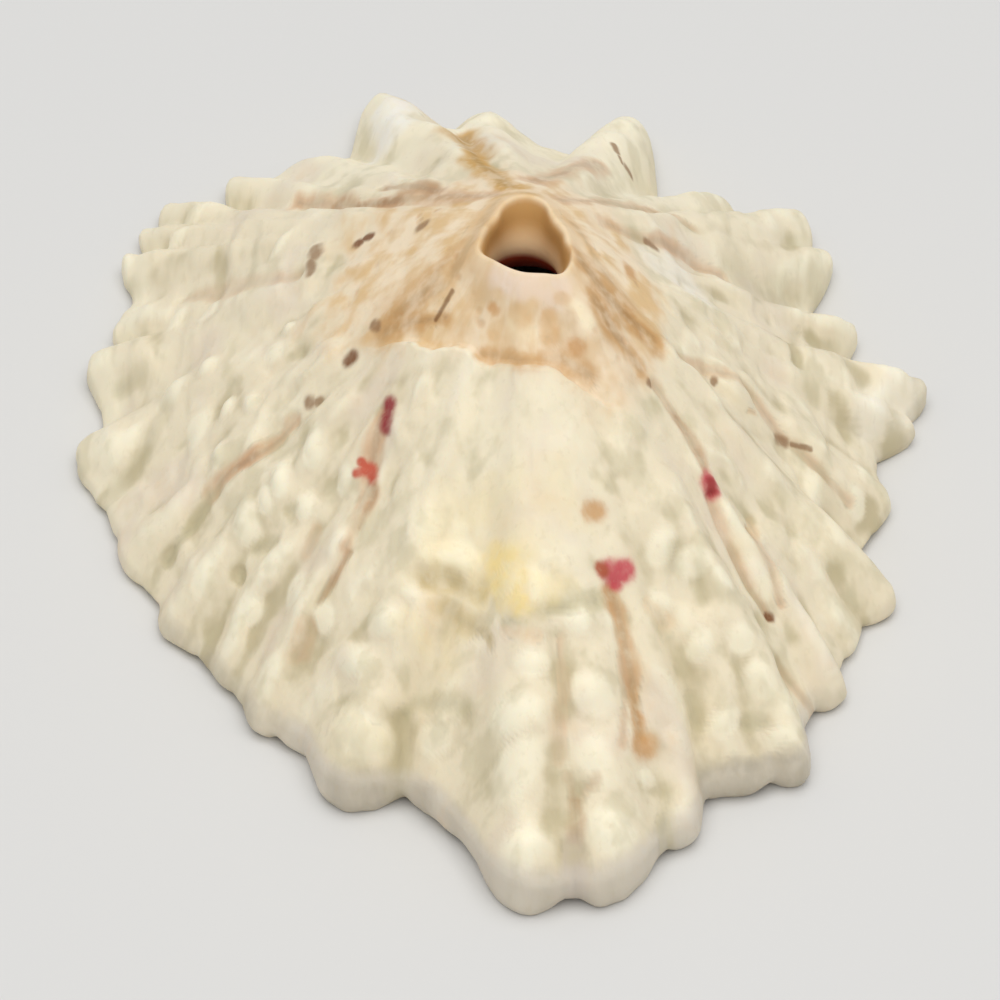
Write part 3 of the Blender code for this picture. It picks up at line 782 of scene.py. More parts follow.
@dataclass(frozen=True)
class EdgeForm:
    """The margin's edge, the hollow under the shell and the keyhole's throat."""

    edge_bulge_at: float = 0.55
    edge_tuck_at: float = 0.2
    edge_inset: float = 0.2
    edge_thickness: float = 1.1
    tooth_share_inside: float = 0.35
    arch_share: float = 0.16
    foot_starts_at: float = 0.6
    hollow_step: float = 0.35
    hollow_bulge: float = 1.1
    hollow_top_depth: float = 3.4
    hollow_top_share: float = 0.14
    flute: float = 0.12
    ring_crest: tuple[float, float, float] = (2.1, 2.3, 3.1)
    ring_lip: tuple[float, float, float] = (1.5, 1.65, 2.75)
    throat_depth: float = 1.6
    funnel_middle: float = 0.45

    def lift(self, flank: FlankForm, azimuth: Array) -> Array:
        """Give the margin's height over the floor: 0 under each rib, arched under each groove."""
        arch = self.arch_share * flank.edge_height(azimuth)
        return arch * ramp(flank.crest(azimuth), self.foot_starts_at, 0.0)

    def inner_radius(self, flank: FlankForm, azimuth: Array) -> Array:
        """Give the radius of the margin's inner edge, which follows the teeth only weakly."""
        reach = self.tooth_share_inside * flank.teeth(azimuth)
        return closed_curve(GROOVE_LINE, azimuth) + reach - self.edge_thickness

    def margin(self, flank: FlankForm, azimuth: Array) -> list[Ring]:
        """Give the rings round the margin's edge, from the flank's foot to the hollow."""
        outer, _ = flank.profile(azimuth, np.ones_like(azimuth), np.zeros_like(azimuth))
        lift = self.lift(flank, azimuth)
        top = flank.edge_height(azimuth)
        return [
            (outer + flank.edge_bulge, lift + self.edge_bulge_at * (top - lift)),
            (outer, lift + self.edge_tuck_at * (top - lift)),
            (outer - self.edge_inset, lift),
            (self.inner_radius(flank, azimuth), lift),
        ]

    def hollow(self, flank: FlankForm, azimuth: Array, count: int) -> list[Ring]:
        """Give the rings of the hollow's wall, from the margin up to the ring round the keyhole.

        The radius shrinks evenly while the height rises by one less a power of what is left.
        """
        lift = self.lift(flank, azimuth)
        foot = self.inner_radius(flank, azimuth) - self.hollow_step
        rim = flank.rim(azimuth)
        top = rim + self.hollow_top_share * (closed_curve(GROOVE_LINE, azimuth) - rim)
        foot_height = lift + self.hollow_step
        top_height = flank.height - self.hollow_top_depth
        rings = []
        for share in np.linspace(0.0, 1.0, count):
            rise = 1.0 - (1.0 - share) ** self.hollow_bulge
            rings.append((foot + (top - foot) * share, foot_height + (top_height - foot_height) * rise))
        return rings

    def fluted_hollow(self, flank: FlankForm, azimuth: Array, count: int) -> list[Ring]:
        """Give the hollow's rings with flutes behind the ribs, which fade by the square up the wall."""
        flute = self.flute * flank.crest(azimuth)
        fades = [(1.0 - row / count) ** 2 for row in range(count)]
        rings = self.hollow(flank, azimuth, count)
        return [(radius + flute * fade, height) for fade, (radius, height) in zip(fades, rings)]

    def keyhole(self, flank: FlankForm, azimuth: Array) -> list[Ring]:
        """Give the rings from the thick ring inside, up through the throat, to the rim."""
        level = np.full_like(azimuth, flank.height)
        rim = closed_curve(KEYHOLE_LINE, azimuth)
        thick = [
            (oval(azimuth, half_x, half_y), level - depth)
            for half_x, half_y, depth in (self.ring_crest, self.ring_lip)
        ]
        throat = closed_curve(THROAT_LINE, azimuth)
        middle = throat + (rim - throat) * (1.0 - self.funnel_middle)
        return thick + [
            (throat, level - self.throat_depth),
            (middle, level - self.funnel_middle * self.throat_depth),
            (rim, level - flank.rim_rounding),
        ]


@dataclass(frozen=True)
class ChipForm:
    """How the margin is chipped: in small scallops, and in bumps round its edge."""

    thick_heights: Span = (0.60, 0.95)
    scallops: tuple[Grain, ...] = (Grain(61, 1.1, 0.20), Grain(62, 0.5, 0.09))
    furthest_out: float = 0.04
    thick_calm: float = 0.7
    shares: Span = (0.82, 1.0)
    edge_shares: tuple[float, ...] = (1.0, 1.0, 0.8, 0.2)
    bumps: tuple[Grain, ...] = (Grain(51, 0.9, 0.11), Grain(52, 0.4, 0.06))
    bumps_in_by: float = 3.0
    bumps_out: float = 0.6
    thin_bumps: float = 0.3

    def thick(self, flank: FlankForm, azimuth: Array) -> Array:
        """Give how much each azimuth belongs to the thick near end, from 0 to 1."""
        return ramp(flank.edge_height(azimuth), *self.thick_heights)

    def nibble(self, flank: FlankForm, azimuth: Array) -> Array:
        """Give how far the margin is chipped in or stands out; the thick near end is smoother."""
        foot = flank.profile(azimuth, np.ones_like(azimuth), np.zeros_like(azimuth))
        scallops = grains(flank.place(azimuth, foot), self.scallops)
        calm = 1.0 - self.thick_calm * self.thick(flank, azimuth)
        return np.minimum(scallops, self.furthest_out) * calm

    def chipped(self, flank: FlankForm, azimuth: Array, margin: list[Ring]) -> list[Ring]:
        """Carry the scallops round the margin's edge, weaker towards its inner side."""
        nibble = self.nibble(flank, azimuth)
        rings = zip(self.edge_shares, margin)
        return [(radius + part * nibble, height) for part, (radius, height) in rings]

    def roughened(self, flank: FlankForm, azimuth: Array, rounded: list[Ring]) -> list[Ring]:
        """Raise bumps on the margin's rounded edge.

        They come in over the first few rings and fade evenly towards the hollow, and they are
        low where the edge is thin.

        Args:
            flank: the flank, which places the rings.
            azimuth: where their points are round the keyhole.
            rounded: the rings of the rounded edge.

        Returns:
            The rings with their bumps.
        """
        strength = self.thin_bumps + (1.0 - self.thin_bumps) * self.thick(flank, azimuth)
        rough = []
        for level, (radius, height) in enumerate(rounded):
            bumps = grains(flank.place(azimuth, (radius, height)), self.bumps)
            fade = 1.0 - self.bumps_out * level / (len(rounded) + 1)
            fade = fade * ramp(level + 1.0, 0.0, self.bumps_in_by)
            rough.append((radius + strength * fade * bumps, height))
        return rough


@dataclass(frozen=True)
class WearForm:
    """How the sea has worn the shell: bent and uneven ribs, a bare top with a step; and where highlights and
    crevice shade are painted.
    """

    wander: Grain = Grain(31, 2.6, 3.6)
    wander_in: Span = (0.15, 0.35)
    wander_out: Span = (1.0, 0.8)
    uneven_level: float = 0.85
    uneven: tuple[Grain, ...] = (Grain(32, 2.2, 0.35), Grain(33, 1.1, 0.40))
    even_again: Span = (0.85, 1.0)
    ragged: tuple[Grain, ...] = (Grain(5, 0.16, 0.035), Grain(6, 0.06, 0.02))
    stepped: Sector = Sector(246.0, 31.0)
    step_depth: float = 0.25
    step_shares: Span = (0.0, 0.1)
    fade_from: float = 0.16
    fade_length: float = 0.22
    long_fade: Sector = Sector(150.0, 22.0)
    long_fade_more: float = 0.16
    lip_shares: Span = (0.965, 0.995)
    # Patches of painted highlight: the far teeth, the middle of the near side, and the far margin
    pale: tuple[Patch, ...] = (
        Patch(Sector(92.0, 22.0), (0.45, 0.70), 0.9), Patch(Sector(262.0, 18.0), (0.62, 0.47), 0.45),
        Patch(Sector(105.0, 50.0), (0.91, 0.96), 0.8),
    )
    # Sectors where the painted crevice shade is weaker
    soft: tuple[Sector, ...] = (Sector(270.0, 28.0), Sector(152.0, 28.0))
    softness: float = 0.45
    cavity_depth: float = 0.09
    cavity_blur: int = 6

    def ribs(self, flank: FlankForm, azimuth: Array, share: Array, points: Array) -> Array:
        """Give the height of the ribs, bent from side to side and uneven along their length.

        Args:
            flank: the flank with its even ribs.
            azimuth, share: where the points are.
            points: the points on the smooth cone.

        Returns:
            The ribs' height.
        """
        wander = self.wander.at(points) * ramp(share, *self.wander_in) * ramp(share, *self.wander_out)
        uneven = self.uneven_level + grains(points, self.uneven)
        even = ramp(share, *self.even_again)
        return flank.rib_relief((azimuth + wander) % 360.0, share) * (uneven + (1.0 - uneven) * even)

    def top_edge(self, azimuth: Array) -> Array:
        """Give the share at which the worn top ends, along a ragged line."""
        angle = np.radians(azimuth)
        circle = np.stack([np.cos(angle), np.sin(angle), 0.0 * angle], axis=-1)
        return closed_curve(WORN_EDGE, azimuth) * (1.0 + grains(circle, self.ragged))

    def worn(self, azimuth: Array, share: Array, top: Array) -> Array:
        """Give how worn each place is: the whole top where it ends in a step, fading out elsewhere."""
        strength = self.stepped.at(azimuth)
        length = self.fade_length + self.long_fade_more * self.long_fade.at(azimuth)
        fade = ramp(share, self.fade_from + length, self.fade_from)
        return strength * top + (1.0 - strength) * fade

    def sunk(self, azimuth: Array, share: Array, top: Array) -> Array:
        """Give how deep the worn top lies below the layer that ends in the step."""
        return self.step_depth * self.stepped.at(azimuth) * top * ramp(share, *self.step_shares)

    def painted_highlights(self, azimuth: Array, share: Array, crown: Array) -> Array:
        """Give how much painted highlight each place has: on the crowns of beads, and in the lit patches."""
        return np.maximum.reduce([crown] + [patch.at(azimuth, share) for patch in self.pale])

    def cavity(self, azimuth: Array, relief: Array) -> Array:
        """Give how far each place lies below what is round it, weaker in the soft sectors; the finish paints
        shade there.
        """
        hardness = 1.0 - self.softness * np.maximum.reduce([sector.at(azimuth) for sector in self.soft])
        return (blurred(relief, self.cavity_blur) - relief) / self.cavity_depth * hardness


@dataclass(frozen=True)
class LumpForm:
    """The small relief: flat-topped lumps of two sizes on a slow swell, and a fine grain."""

    fan_stretch: tuple[float, float, float] = (1.0, 1.0, 0.72)
    large: Grain = Grain(1, 0.85, 1.4)
    large_height: Span = (0.05, 0.16)
    large_grow: Span = (0.2, 0.5)
    small: Grain = Grain(2, 0.55, 1.6)
    small_height: float = 0.07
    fine: Grain = Grain(3, 0.26, 0.01)
    swell: Grain = Grain(4, 2.2, 0.10)
    calm: tuple[Patch, ...] = (
        Patch(Sector(92.0, 20.0), EVERYWHERE, 0.6), Patch(Sector(266.0, 20.0), (0.66, 0.54), 0.5),
    )
    lip_calm: float = 0.55

    def height(self, azimuth: Array, share: Array, points: Array, fan: Array, lip: Array) -> Array:
        """Give the relief's height; the far side and the middle of the near side are calmer.

        A lump is an ease of its grain about a half, which flattens its top.

        Args:
            azimuth, share: where the points are.
            points: the points themselves.
            fan: their coordinates that spread with the ribs.
            lip: how far each belongs to the smooth lip, from 0 to 1.

        Returns:
            The relief's height.
        """
        bed = BED.of(points)
        low, high = self.large_height
        large = (low + (high - low) * ramp(share, *self.large_grow)) * ramp(
            0.5 + self.large.at(fan * np.array(self.fan_stretch))
        )
        small = self.small_height * ramp(0.5 + self.small.at(bed))
        calm = 1.0 - sum(patch.at(azimuth, share) for patch in self.calm)
        lumps = (large + small + self.fine.at(bed)) * calm + self.swell.at(points)
        return lumps * (1.0 - self.lip_calm * lip)


@dataclass(frozen=True)
class BeadForm:
    """How the beads are raised that the photograph shows one by one."""

    widened: float = 1.25
    height_share: float = 0.75
    bend: Grain = Grain(41, 0.7, 0.22)
    reach: float = 3.0
    crown: Span = (0.08, 0.58)

    def raised(self, surface: Surface, eye: Eye) -> tuple[Array, Array]:
        """Raise the beads.

        A bead is an oval dome: the square of one less the square of the oval's distance.

        Args:
            surface: the ribbed flank that they stand on.
            eye: the camera that saw them.

        Returns:
            Their height, and how far each point is up its bead from 0 to 1.
        """
        height = np.zeros(surface.points.shape[:-1])
        crown = np.zeros_like(height)
        bent = 1.0 + self.bend.at(surface.points)
        places = surface.seen_at(eye, [(bead.pixel_x, bead.pixel_y) for bead in BEADS])
        for bead, place in zip(BEADS, places):
            offset = surface.points - surface.points[place]
            across = offset @ surface.around[place] / (self.widened * bead.across)
            down = offset @ surface.down[place] / (self.widened * bead.down)
            near = np.linalg.norm(offset, axis=-1) < self.reach * max(bead.across, bead.down)
            dome = np.where(near, np.clip(1.0 - (across**2 + down**2) * bent, 0.0, 1.0) ** 2, 0.0)
            height = np.maximum(height, self.height_share * bead.height * dome)
            crown = np.maximum(crown, ramp(dome, *self.crown))
        return height, crown


@dataclass(frozen=True)
class StreakForm:
    """How the soft stains, the streaks of painted shade and highlight, and their furrows are drawn. A Span
    is in half widths of the streak.
    """

    level: float = 0.85
    ragged: tuple[Grain, ...] = (Grain(21, 0.7, 0.5), Grain(22, 0.3, 0.3))
    faint: Grain = Grain(23, 0.9, 0.3)
    body: Span = (1.5, 0.5)
    core: Span = (1.4, 0.4)
    core_width: float = 0.4
    core_depth: float = 0.22
    pale_from: int = 600

    @staticmethod
    def distance(surface: Surface, knots: list[Array]) -> Array:
        """Give each point's distance to the nearest of the straight lines from knot to knot."""
        gap = np.full(surface.points.shape[:-1], np.inf)
        for start, end in zip(knots, knots[1:]):
            line = end - start
            offset = surface.points - start
            part = np.clip(offset @ line / max(line @ line, TINY), 0.0, 1.0)
            gap = np.minimum(gap, np.linalg.norm(offset - part[..., None] * line, axis=-1))
        return gap

    def drawn(self, surface: Surface, eye: Eye) -> tuple[Array, Array]:
        """Draw the streaks, each over those before it, darker along its core where it isn't pale.

        Args:
            surface: the ribbed flank that they lie on.
            eye: the camera that saw them.

        Returns:
            The stains and streaks of painted shade and highlight as (..., 4), red, green, blue and strength,
            and the furrows' depth.
        """
        stain_and_painted_light = np.zeros(surface.points.shape[:-1] + (4,))
        furrow = np.zeros(surface.points.shape[:-1])
        bed = BED.of(surface.points)
        ragged = self.level + grains(bed, self.ragged)
        faint = self.level + self.faint.at(bed)
        for streak in STREAKS:
            knots = [surface.points[place] for place in surface.seen_at(eye, list(streak.pixels))]
            gap = self.distance(surface, knots) / streak.half_width
            alpha = np.clip(streak.strength * ramp(gap / ragged, *self.body) * faint, 0.0, 1.0)[..., None]
            core = ramp(gap / (self.core_width * ragged), *self.core)[..., None]
            depth = self.core_depth if sum(streak.tint.value) < self.pale_from else 0.0
            tint = np.array(streak.tint.linear()[:3]) * (1.0 - depth * core)
            stain_and_painted_light = stain_and_painted_light * (1.0 - alpha) + np.concatenate([tint, np.ones_like(alpha)], axis=-1) * alpha
            furrow = np.maximum(furrow, streak.furrow * ramp(gap, *self.core))
        stain_and_painted_light[..., :3] /= np.maximum(stain_and_painted_light[..., 3:], TINY)
        return stain_and_painted_light, furrow


class Value:
    """A number or colour that flows through a material, with arithmetic that adds its Math nodes."""

    def __init__(self, recipe: "Recipe", socket: bpy.types.NodeSocket) -> None:
        """Wrap a node's output socket."""
        self.recipe = recipe
        self.socket = socket

    def _math(self, operation: str, first: "Value | float", second: "Value | float") -> "Value":
        """Add a Math node for two numbers."""
        return self.recipe.node("ShaderNodeMath", {"operation": operation}, {0: first, 1: second})

    def __add__(self, other: "Value | float") -> "Value":
        """Add."""
        return self._math("ADD", self, other)

    def __radd__(self, other: float) -> "Value":
        """Add to a plain number."""
        return self._math("ADD", other, self)

    def __sub__(self, other: "Value | float") -> "Value":
        """Subtract."""
        return self._math("SUBTRACT", self, other)

    def __rsub__(self, other: float) -> "Value":
        """Subtract from a plain number."""
        return self._math("SUBTRACT", other, self)

    def __mul__(self, other: "Value | float") -> "Value":
        """Multiply."""
        return self._math("MULTIPLY", self, other)

    def __rmul__(self, other: float) -> "Value":
        """Multiply a plain number."""
        return self._math("MULTIPLY", other, self)

    def __truediv__(self, other: "Value | float") -> "Value":
        """Divide."""
        return self._math("DIVIDE", self, other)

    def __rtruediv__(self, other: float) -> "Value":
        """Divide a plain number."""
        return self._math("DIVIDE", other, self)

    def larger(self, other: "Value | float") -> "Value":
        """Give the larger of two numbers."""
        return self._math("MAXIMUM", self, other)

    def blended(self, share: float, other: "Value") -> "Value":
        """Give so large a share of this number, and the rest of another."""
        return self * share + other * (1.0 - share)

    def step(self, low: float, high: float) -> "Value":
        """Ease from 0 at low to 1 at high; low may be the larger of the two."""
        settings = {"interpolation_type": "SMOOTHSTEP"}
        if low < high:
            return self.recipe.node("ShaderNodeMapRange", settings, {0: self, 1: low, 2: high})
        return self.recipe.node("ShaderNodeMapRange", settings, {0: self, 1: high, 2: low, 3: 1.0, 4: 0.0})


@dataclass(frozen=True)
class Cloud:
    """Noise whose lumps are about size millimetres across, with its detail and roughness."""

    size: float
    detail: float = 2.0
    roughness: float = 0.5


class Recipe:
    """A material's node tree, filled from its shader backwards."""

    def __init__(self, name: str) -> None:
        """Start a material of this name with its Principled shader."""
        self.material = bpy.data.materials.new(name)
        self.material.use_nodes = True
        self.nodes = self.material.node_tree.nodes
        self.links = self.material.node_tree.links
        self.shader = self.nodes["Principled BSDF"]

    def node(self, kind: str, settings: dict | None = None, inputs: dict | None = None,
             output: int | str = 0) -> Value:
        """Add a node.

        Args:
            kind: the node's type.
            settings: its properties, which are set first.
            inputs: a number, vector, colour or Value for each named or numbered socket.
            output: which of its sockets to give back.

        Returns:
            The chosen output.
        """
        made = self.nodes.new(kind)
        for name, setting in (settings or {}).items():
            setattr(made, name, setting)
        for key, given in (inputs or {}).items():
            self.feed(made.inputs[key], given)
        return Value(self, made.outputs[output])

    def feed(self, socket: bpy.types.NodeSocket, given: "Value | Tint | float | tuple") -> None:
        """Link a Value to a socket, or set the socket to a tint, a plain number or a vector."""
        if isinstance(given, Value):
            self.links.new(given.socket, socket)
        else:
            socket.default_value = given.linear() if isinstance(given, Tint) else given

    def set(self, **inputs: "Value | float | tuple") -> None:
        """Feed the shader's sockets, named with underscores for spaces."""
        for name, given in inputs.items():
            self.feed(self.shader.inputs[name.replace("_", " ")], given)

    def painted(self, name: str, output: str = "Fac") -> Value:
        """Read one of the mesh's own attributes."""
        return self.node("ShaderNodeAttribute", {"attribute_name": name}, output=output)

    def vector(self, operation: str, *values: "Value | tuple | float", output: int = 0) -> Value:
        """Add a Vector Math node."""
        return self.node("ShaderNodeVectorMath", {"operation": operation}, dict(enumerate(values)), output)

    def scaled(self, vector: Value | tuple, factor: Value | float) -> Value:
        """Scale a vector."""
        return self.node("ShaderNodeVectorMath", {"operation": "SCALE"}, {0: vector, 3: factor})

    def on_bed(self, place: Value) -> Value:
        """Turn places in millimetres into the drawn-out coordinates."""
        x, y, z = (self.node("ShaderNodeSeparateXYZ", {}, {0: place}, axis) for axis in range(3))
        past = (y - BED.far_start).larger(0.0)
        inputs = {0: x, 1: BED.squeezed(y, past), 2: z * BED.height_share}
        return self.node("ShaderNodeCombineXYZ", {}, inputs)

    def mix(self, factor: Value | float, first: Value | Tint, second: Value | Tint) -> Value:
        """Mix two colours; a factor of 1 gives the second."""
        return self.node("ShaderNodeMix", {"data_type": "RGBA"}, {0: factor, 6: first, 7: second}, 2)

    def cloud(self, place: Value, cloud: Cloud, output: str = "Fac") -> Value:
        """Give a cloud's noise at a place."""
        inputs = {"Vector": place, "Scale": 1.0 / cloud.size}
        inputs |= {"Detail": cloud.detail, "Roughness": cloud.roughness}
        return self.node("ShaderNodeTexNoise", {}, inputs, output)


@dataclass(frozen=True)
class Coat:
    """A coat of one colour: where its field starts to show it, where it is full, and how strong."""

    tint: Tint
    span: Span
    strength: float

    def over(self, recipe: Recipe, field: Value, under: Value) -> Value:
        """Lay the coat over a colour."""
        return recipe.mix(field.step(*self.span) * self.strength, under, self.tint)


@dataclass(frozen=True)
class Clouds:
    """The clouds that the finish reads: rays and blots spread with the ribs, the rest on the bed."""

    rays: Value
    blots: Value
    patches: Value
    mottle: Value
    speckle: Value


@dataclass(frozen=True)
class ShellFinish:
    """Chalky cream shell: painted olive-grey shade in its crevices, painted highlights on its lumps, tan
    where it is worn, porcelain inside.

    A Span is where a cloud or field starts to show something and where that is full.
    """

    rays: Cloud = Cloud(1.3, 3.0, 0.55)
    ray_spread: tuple = (1.0, 1.0, 0.55)
    blots: Cloud = Cloud(0.95, 2.0, 0.45)
    blot_spread: tuple = (1.0, 1.0, 0.7)
    patches: Cloud = Cloud(2.4)
    mottle: Cloud = Cloud(0.60)
    speckle: Cloud = Cloud(0.22)

    blot_weight: float = 2.4
    mottle_weight: float = 1.2
    cavity_shade: float = 0.7
    shade_span: Span = (0.05, 1.05)
    cavity_light: float = 0.6
    light: Coat = Coat(Tint.HIGHLIGHT_CREAM, (0.1, 1.0), 0.9)
    highlight_strength: float = 0.7
    rosy_share: float = 0.7
    rosy: Coat = Coat(Tint.ROSE, (0.52, 0.66), 0.36)
    olive_share: float = 0.6
    olive: Coat = Coat(Tint.OLIVE_AND_SHADE, (0.48, 0.36), 0.34)
    lip_shade_strength: float = 0.7
    specks: Coat = Coat(Tint.SHADE_AND_SPECKS, (0.58, 0.72), 0.14)

    blotched_weights: tuple = (0.35, 0.3, 0.35)
    blotched_span: Span = (0.43, 0.60)
    worn_weight: float = 1.3
    worn_mottle: float = 0.9
    worn_patches: float = 0.8
    worn_span: Span = (0.1, 0.95)
    rim: Coat = Coat(Tint.RIM, (0.35, 0.95), 0.7)

    broken_share: float = 0.7
    broken_span: Span = (0.34, 0.60)
    unbroken: float = 0.5
    pits_per_mm: float = 1.5
    pit_span: Span = (0.30, 0.06)
    pit_patches: Span = (0.42, 0.56)
    pit_strength: float = 0.45

    scatter: Cloud = Cloud(0.35)
    wobble: float = 0.09
    fray: float = 0.4
    core_span: Span = (0.20, 0.78)
    core: float = 0.85
    core_least: float = 0.7
    core_grain: float = 0.6
    halo_span: Span = (0.0, 0.6)
    halo: float = 0.30

    scar_strength: float = 0.6
    speckle_relief: float = 0.3
    pit_relief: float = 0.8
    bead_calm: float = 0.75
    rim_calm: float = 0.85
    inside_calm: float = 0.9
    bump_strength: float = 0.5
    bump_depth: float = 0.08

    roughness: float = 0.68
    shade_roughness: float = 0.12
    relief_middle: float = 0.75
    relief_roughness: float = 0.2
    inside_gloss: float = 0.22
    ior: float = 1.45
    specular: float = 0.3
    glow: float = 0.15
    glow_radius: tuple = (1.0, 0.7, 0.45)
    glow_depth: float = 0.5

    def clouds(self, recipe: Recipe, place: Value) -> Clouds:
        """Make the clouds, for places in millimetres."""
        fan = recipe.painted("fan", "Vector")
        bed = recipe.on_bed(place)
        return Clouds(
            rays=recipe.cloud(recipe.vector("MULTIPLY", fan, self.ray_spread), self.rays),
            blots=recipe.cloud(recipe.vector("MULTIPLY", fan, self.blot_spread), self.blots),
            patches=recipe.cloud(bed, self.patches),
            mottle=recipe.cloud(bed, self.mottle),
            speckle=recipe.cloud(bed, self.speckle),
        )

    def ground(self, recipe: Recipe, clouds: Clouds) -> tuple[Value, Value]:
        """Colour the unworn flank: painted shade in its crevices, painted highlights on its lumps, bead
        crowns and lit patches, rosy and olive in patches, painted shade on the lip.

        Args:
            recipe: the material.
            clouds: its clouds.

        Returns:
            The colour, and how shaded each place is.
        """
        cavity = recipe.painted("cavity")
        uneven = (clouds.blots - EVEN) * self.blot_weight + (clouds.mottle - EVEN) * self.mottle_weight
        # Painted shade: darker where the relief lies below its neighbours, and darker at random with the
        # blots and mottle
        shade = (cavity * self.cavity_shade - uneven).step(*self.shade_span)
        colour = recipe.mix(shade, Tint.MIDDLE, Tint.SHADE_AND_SPECKS)
        # Painted highlight on raised lumps away from the crevices, also paler at random with the blots and
        # mottle
        colour = self.light.over(recipe, uneven - cavity * self.cavity_light, colour)
        # Painted highlight on the bead crowns and the lit patches
        colour = recipe.mix(recipe.painted("bead") * self.highlight_strength, colour, Tint.HIGHLIGHT_CREAM)
        colour = self.rosy.over(recipe, clouds.patches.blended(self.rosy_share, clouds.blots), colour)
        colour = self.olive.over(recipe, clouds.patches.blended(self.olive_share, clouds.mottle), colour)
        # Painted shade on the lip of the thick near end
        return recipe.mix(recipe.painted("lip") * self.lip_shade_strength, colour, Tint.LIP_SHADE), shade

    def worn_top(self, recipe: Recipe, clouds: Clouds, colour: Value) -> Value:
        """Lay the blotched tan of the worn top and the keyhole's rim over a colour."""
        ray_weight, patch_weight, mottle_weight = self.blotched_weights
        blotched = clouds.rays * ray_weight + clouds.patches * patch_weight + clouds.mottle * mottle_weight
        bare = recipe.mix(blotched.step(*self.blotched_span), Tint.WORN_LIGHT, Tint.WORN_DEEP)
        worn = recipe.painted("worn") * self.worn_weight + (clouds.mottle - EVEN) * self.worn_mottle
        worn = worn + (clouds.patches - EVEN) * self.worn_patches
        colour = recipe.mix(worn.step(*self.worn_span), colour, bare)
        return self.rim.over(recipe, recipe.painted("rim"), colour)

    def streaked(self, recipe: Recipe, clouds: Clouds, colour: Value) -> Value:
        """Lay the streaks, stains with some painted shade and painted highlights, over a colour, broken up
        by the fine clouds.
        """
        broken = clouds.mottle.blended(self.broken_share, clouds.speckle).step(*self.broken_span)
        strength = recipe.painted("stain_and_painted_light", "Alpha") * (self.unbroken + broken * (1.0 - self.unbroken))
        return recipe.mix(strength, colour, recipe.painted("stain_and_painted_light", "Color"))

    def pits(self, recipe: Recipe, place: Value, clouds: Clouds) -> Value:
        """Give the small pits of the worn top: the middles of cells, in patches."""
        inputs = {"Vector": place, "Scale": self.pits_per_mm, "Randomness": 1.0}
        cells = recipe.node("ShaderNodeTexVoronoi", {"feature": "F1"}, inputs)
        pit = cells.step(*self.pit_span) * recipe.painted("pitted")
        return pit * clouds.patches.step(*self.pit_patches)

    def marks(self, recipe: Recipe, place: Value, grain: Value, colour: Value, found: list[Found]) -> Value:
        """Lay the small marks over a colour.

        A mark's field is 1 less half the distance to the line between its two ends, in radii.
        Its core is where the field, roughened by grain, is over about a half, and a weak halo
        reaches out to where the field ends.

        Args:
            recipe: the material.
            place: where the surface is, in millimetres.
            grain: a fine cloud that frays the marks.
            colour: what the marks are laid over.
            found: (tint, radius, start, end) of each mark.

        Returns:
            The colour with its marks.
        """
        for tint in Tint:
            field = None
            for _, radius, start, end in (row for row in found if row[0] is tint):
                reach = np.linalg.norm(end - start)
                line = tuple((end - start) / max(reach, TINY))
                offset = recipe.vector("SUBTRACT", place, tuple(start))
                along = recipe.vector("DOT_PRODUCT", offset, line, output=1)
                held = recipe.node("ShaderNodeClamp", {}, {0: along, 1: 0.0, 2: float(reach)})
                gap = recipe.vector("DISTANCE", offset, recipe.scaled(line, held), output=1)
                spot = 1.0 - gap * (0.5 / radius)
                field = spot if field is None else field.larger(spot)
            if field is not None:
                frayed = (field + (grain - EVEN) * self.fray).step(*self.core_span)
                grainy = self.core_least + grain * self.core_grain
                colour = recipe.mix(field.step(*self.halo_span) * self.halo, colour, tint)
                colour = recipe.mix(frayed * FAINT_CORES.get(tint, self.core) * grainy, colour, tint)
        return colour

    def outside(self, recipe: Recipe, place: Value, found: list[Found]) -> tuple[Value, Value, Value]:
        """Colour the outside.

        Args:
            recipe: the material.
            place: where the surface is, in millimetres.
            found: the marks.

        Returns:
            The colour, the relief for the bump, and how shaded each place is.
        """
        clouds = self.clouds(recipe, place)
        colour, shade = self.ground(recipe, clouds)
        colour = self.streaked(recipe, clouds, self.worn_top(recipe, clouds, colour))
        pit = self.pits(recipe, place, clouds)
        colour = recipe.mix(pit * self.pit_strength, colour, Tint.ORANGE)
        scatter = recipe.vector("SUBTRACT", recipe.cloud(place, self.scatter, "Color"), (EVEN, EVEN, EVEN))
        moved = recipe.vector("ADD", place, recipe.scaled(scatter, self.wobble))
        colour = self.marks(recipe, moved, clouds.speckle, colour, found)
        colour = self.specks.over(recipe, clouds.speckle, colour)
        return colour, clouds.speckle * self.speckle_relief + clouds.mottle - pit * self.pit_relief, shade

    def inside(self, recipe: Recipe, colour: Value, inside: Value) -> Value:
        """Lay the throat, the porcelain with its scar, and the callus over the outside's colour."""
        # The throat wall: orange-tan at the top, paler lower down and painted lighter there against the
        # shade
        wall = recipe.mix(recipe.painted("depth"), Tint.THROAT_TOP, Tint.THROAT_LOW_PALE_AND_LIT)
        colour = recipe.mix(recipe.painted("throat"), colour, wall)
        porcelain = recipe.mix(recipe.painted("scar") * self.scar_strength, Tint.PORCELAIN, Tint.SCAR)
        colour = recipe.mix(inside, colour, porcelain)
        return recipe.mix(recipe.painted("callus"), colour, Tint.CALLUS)

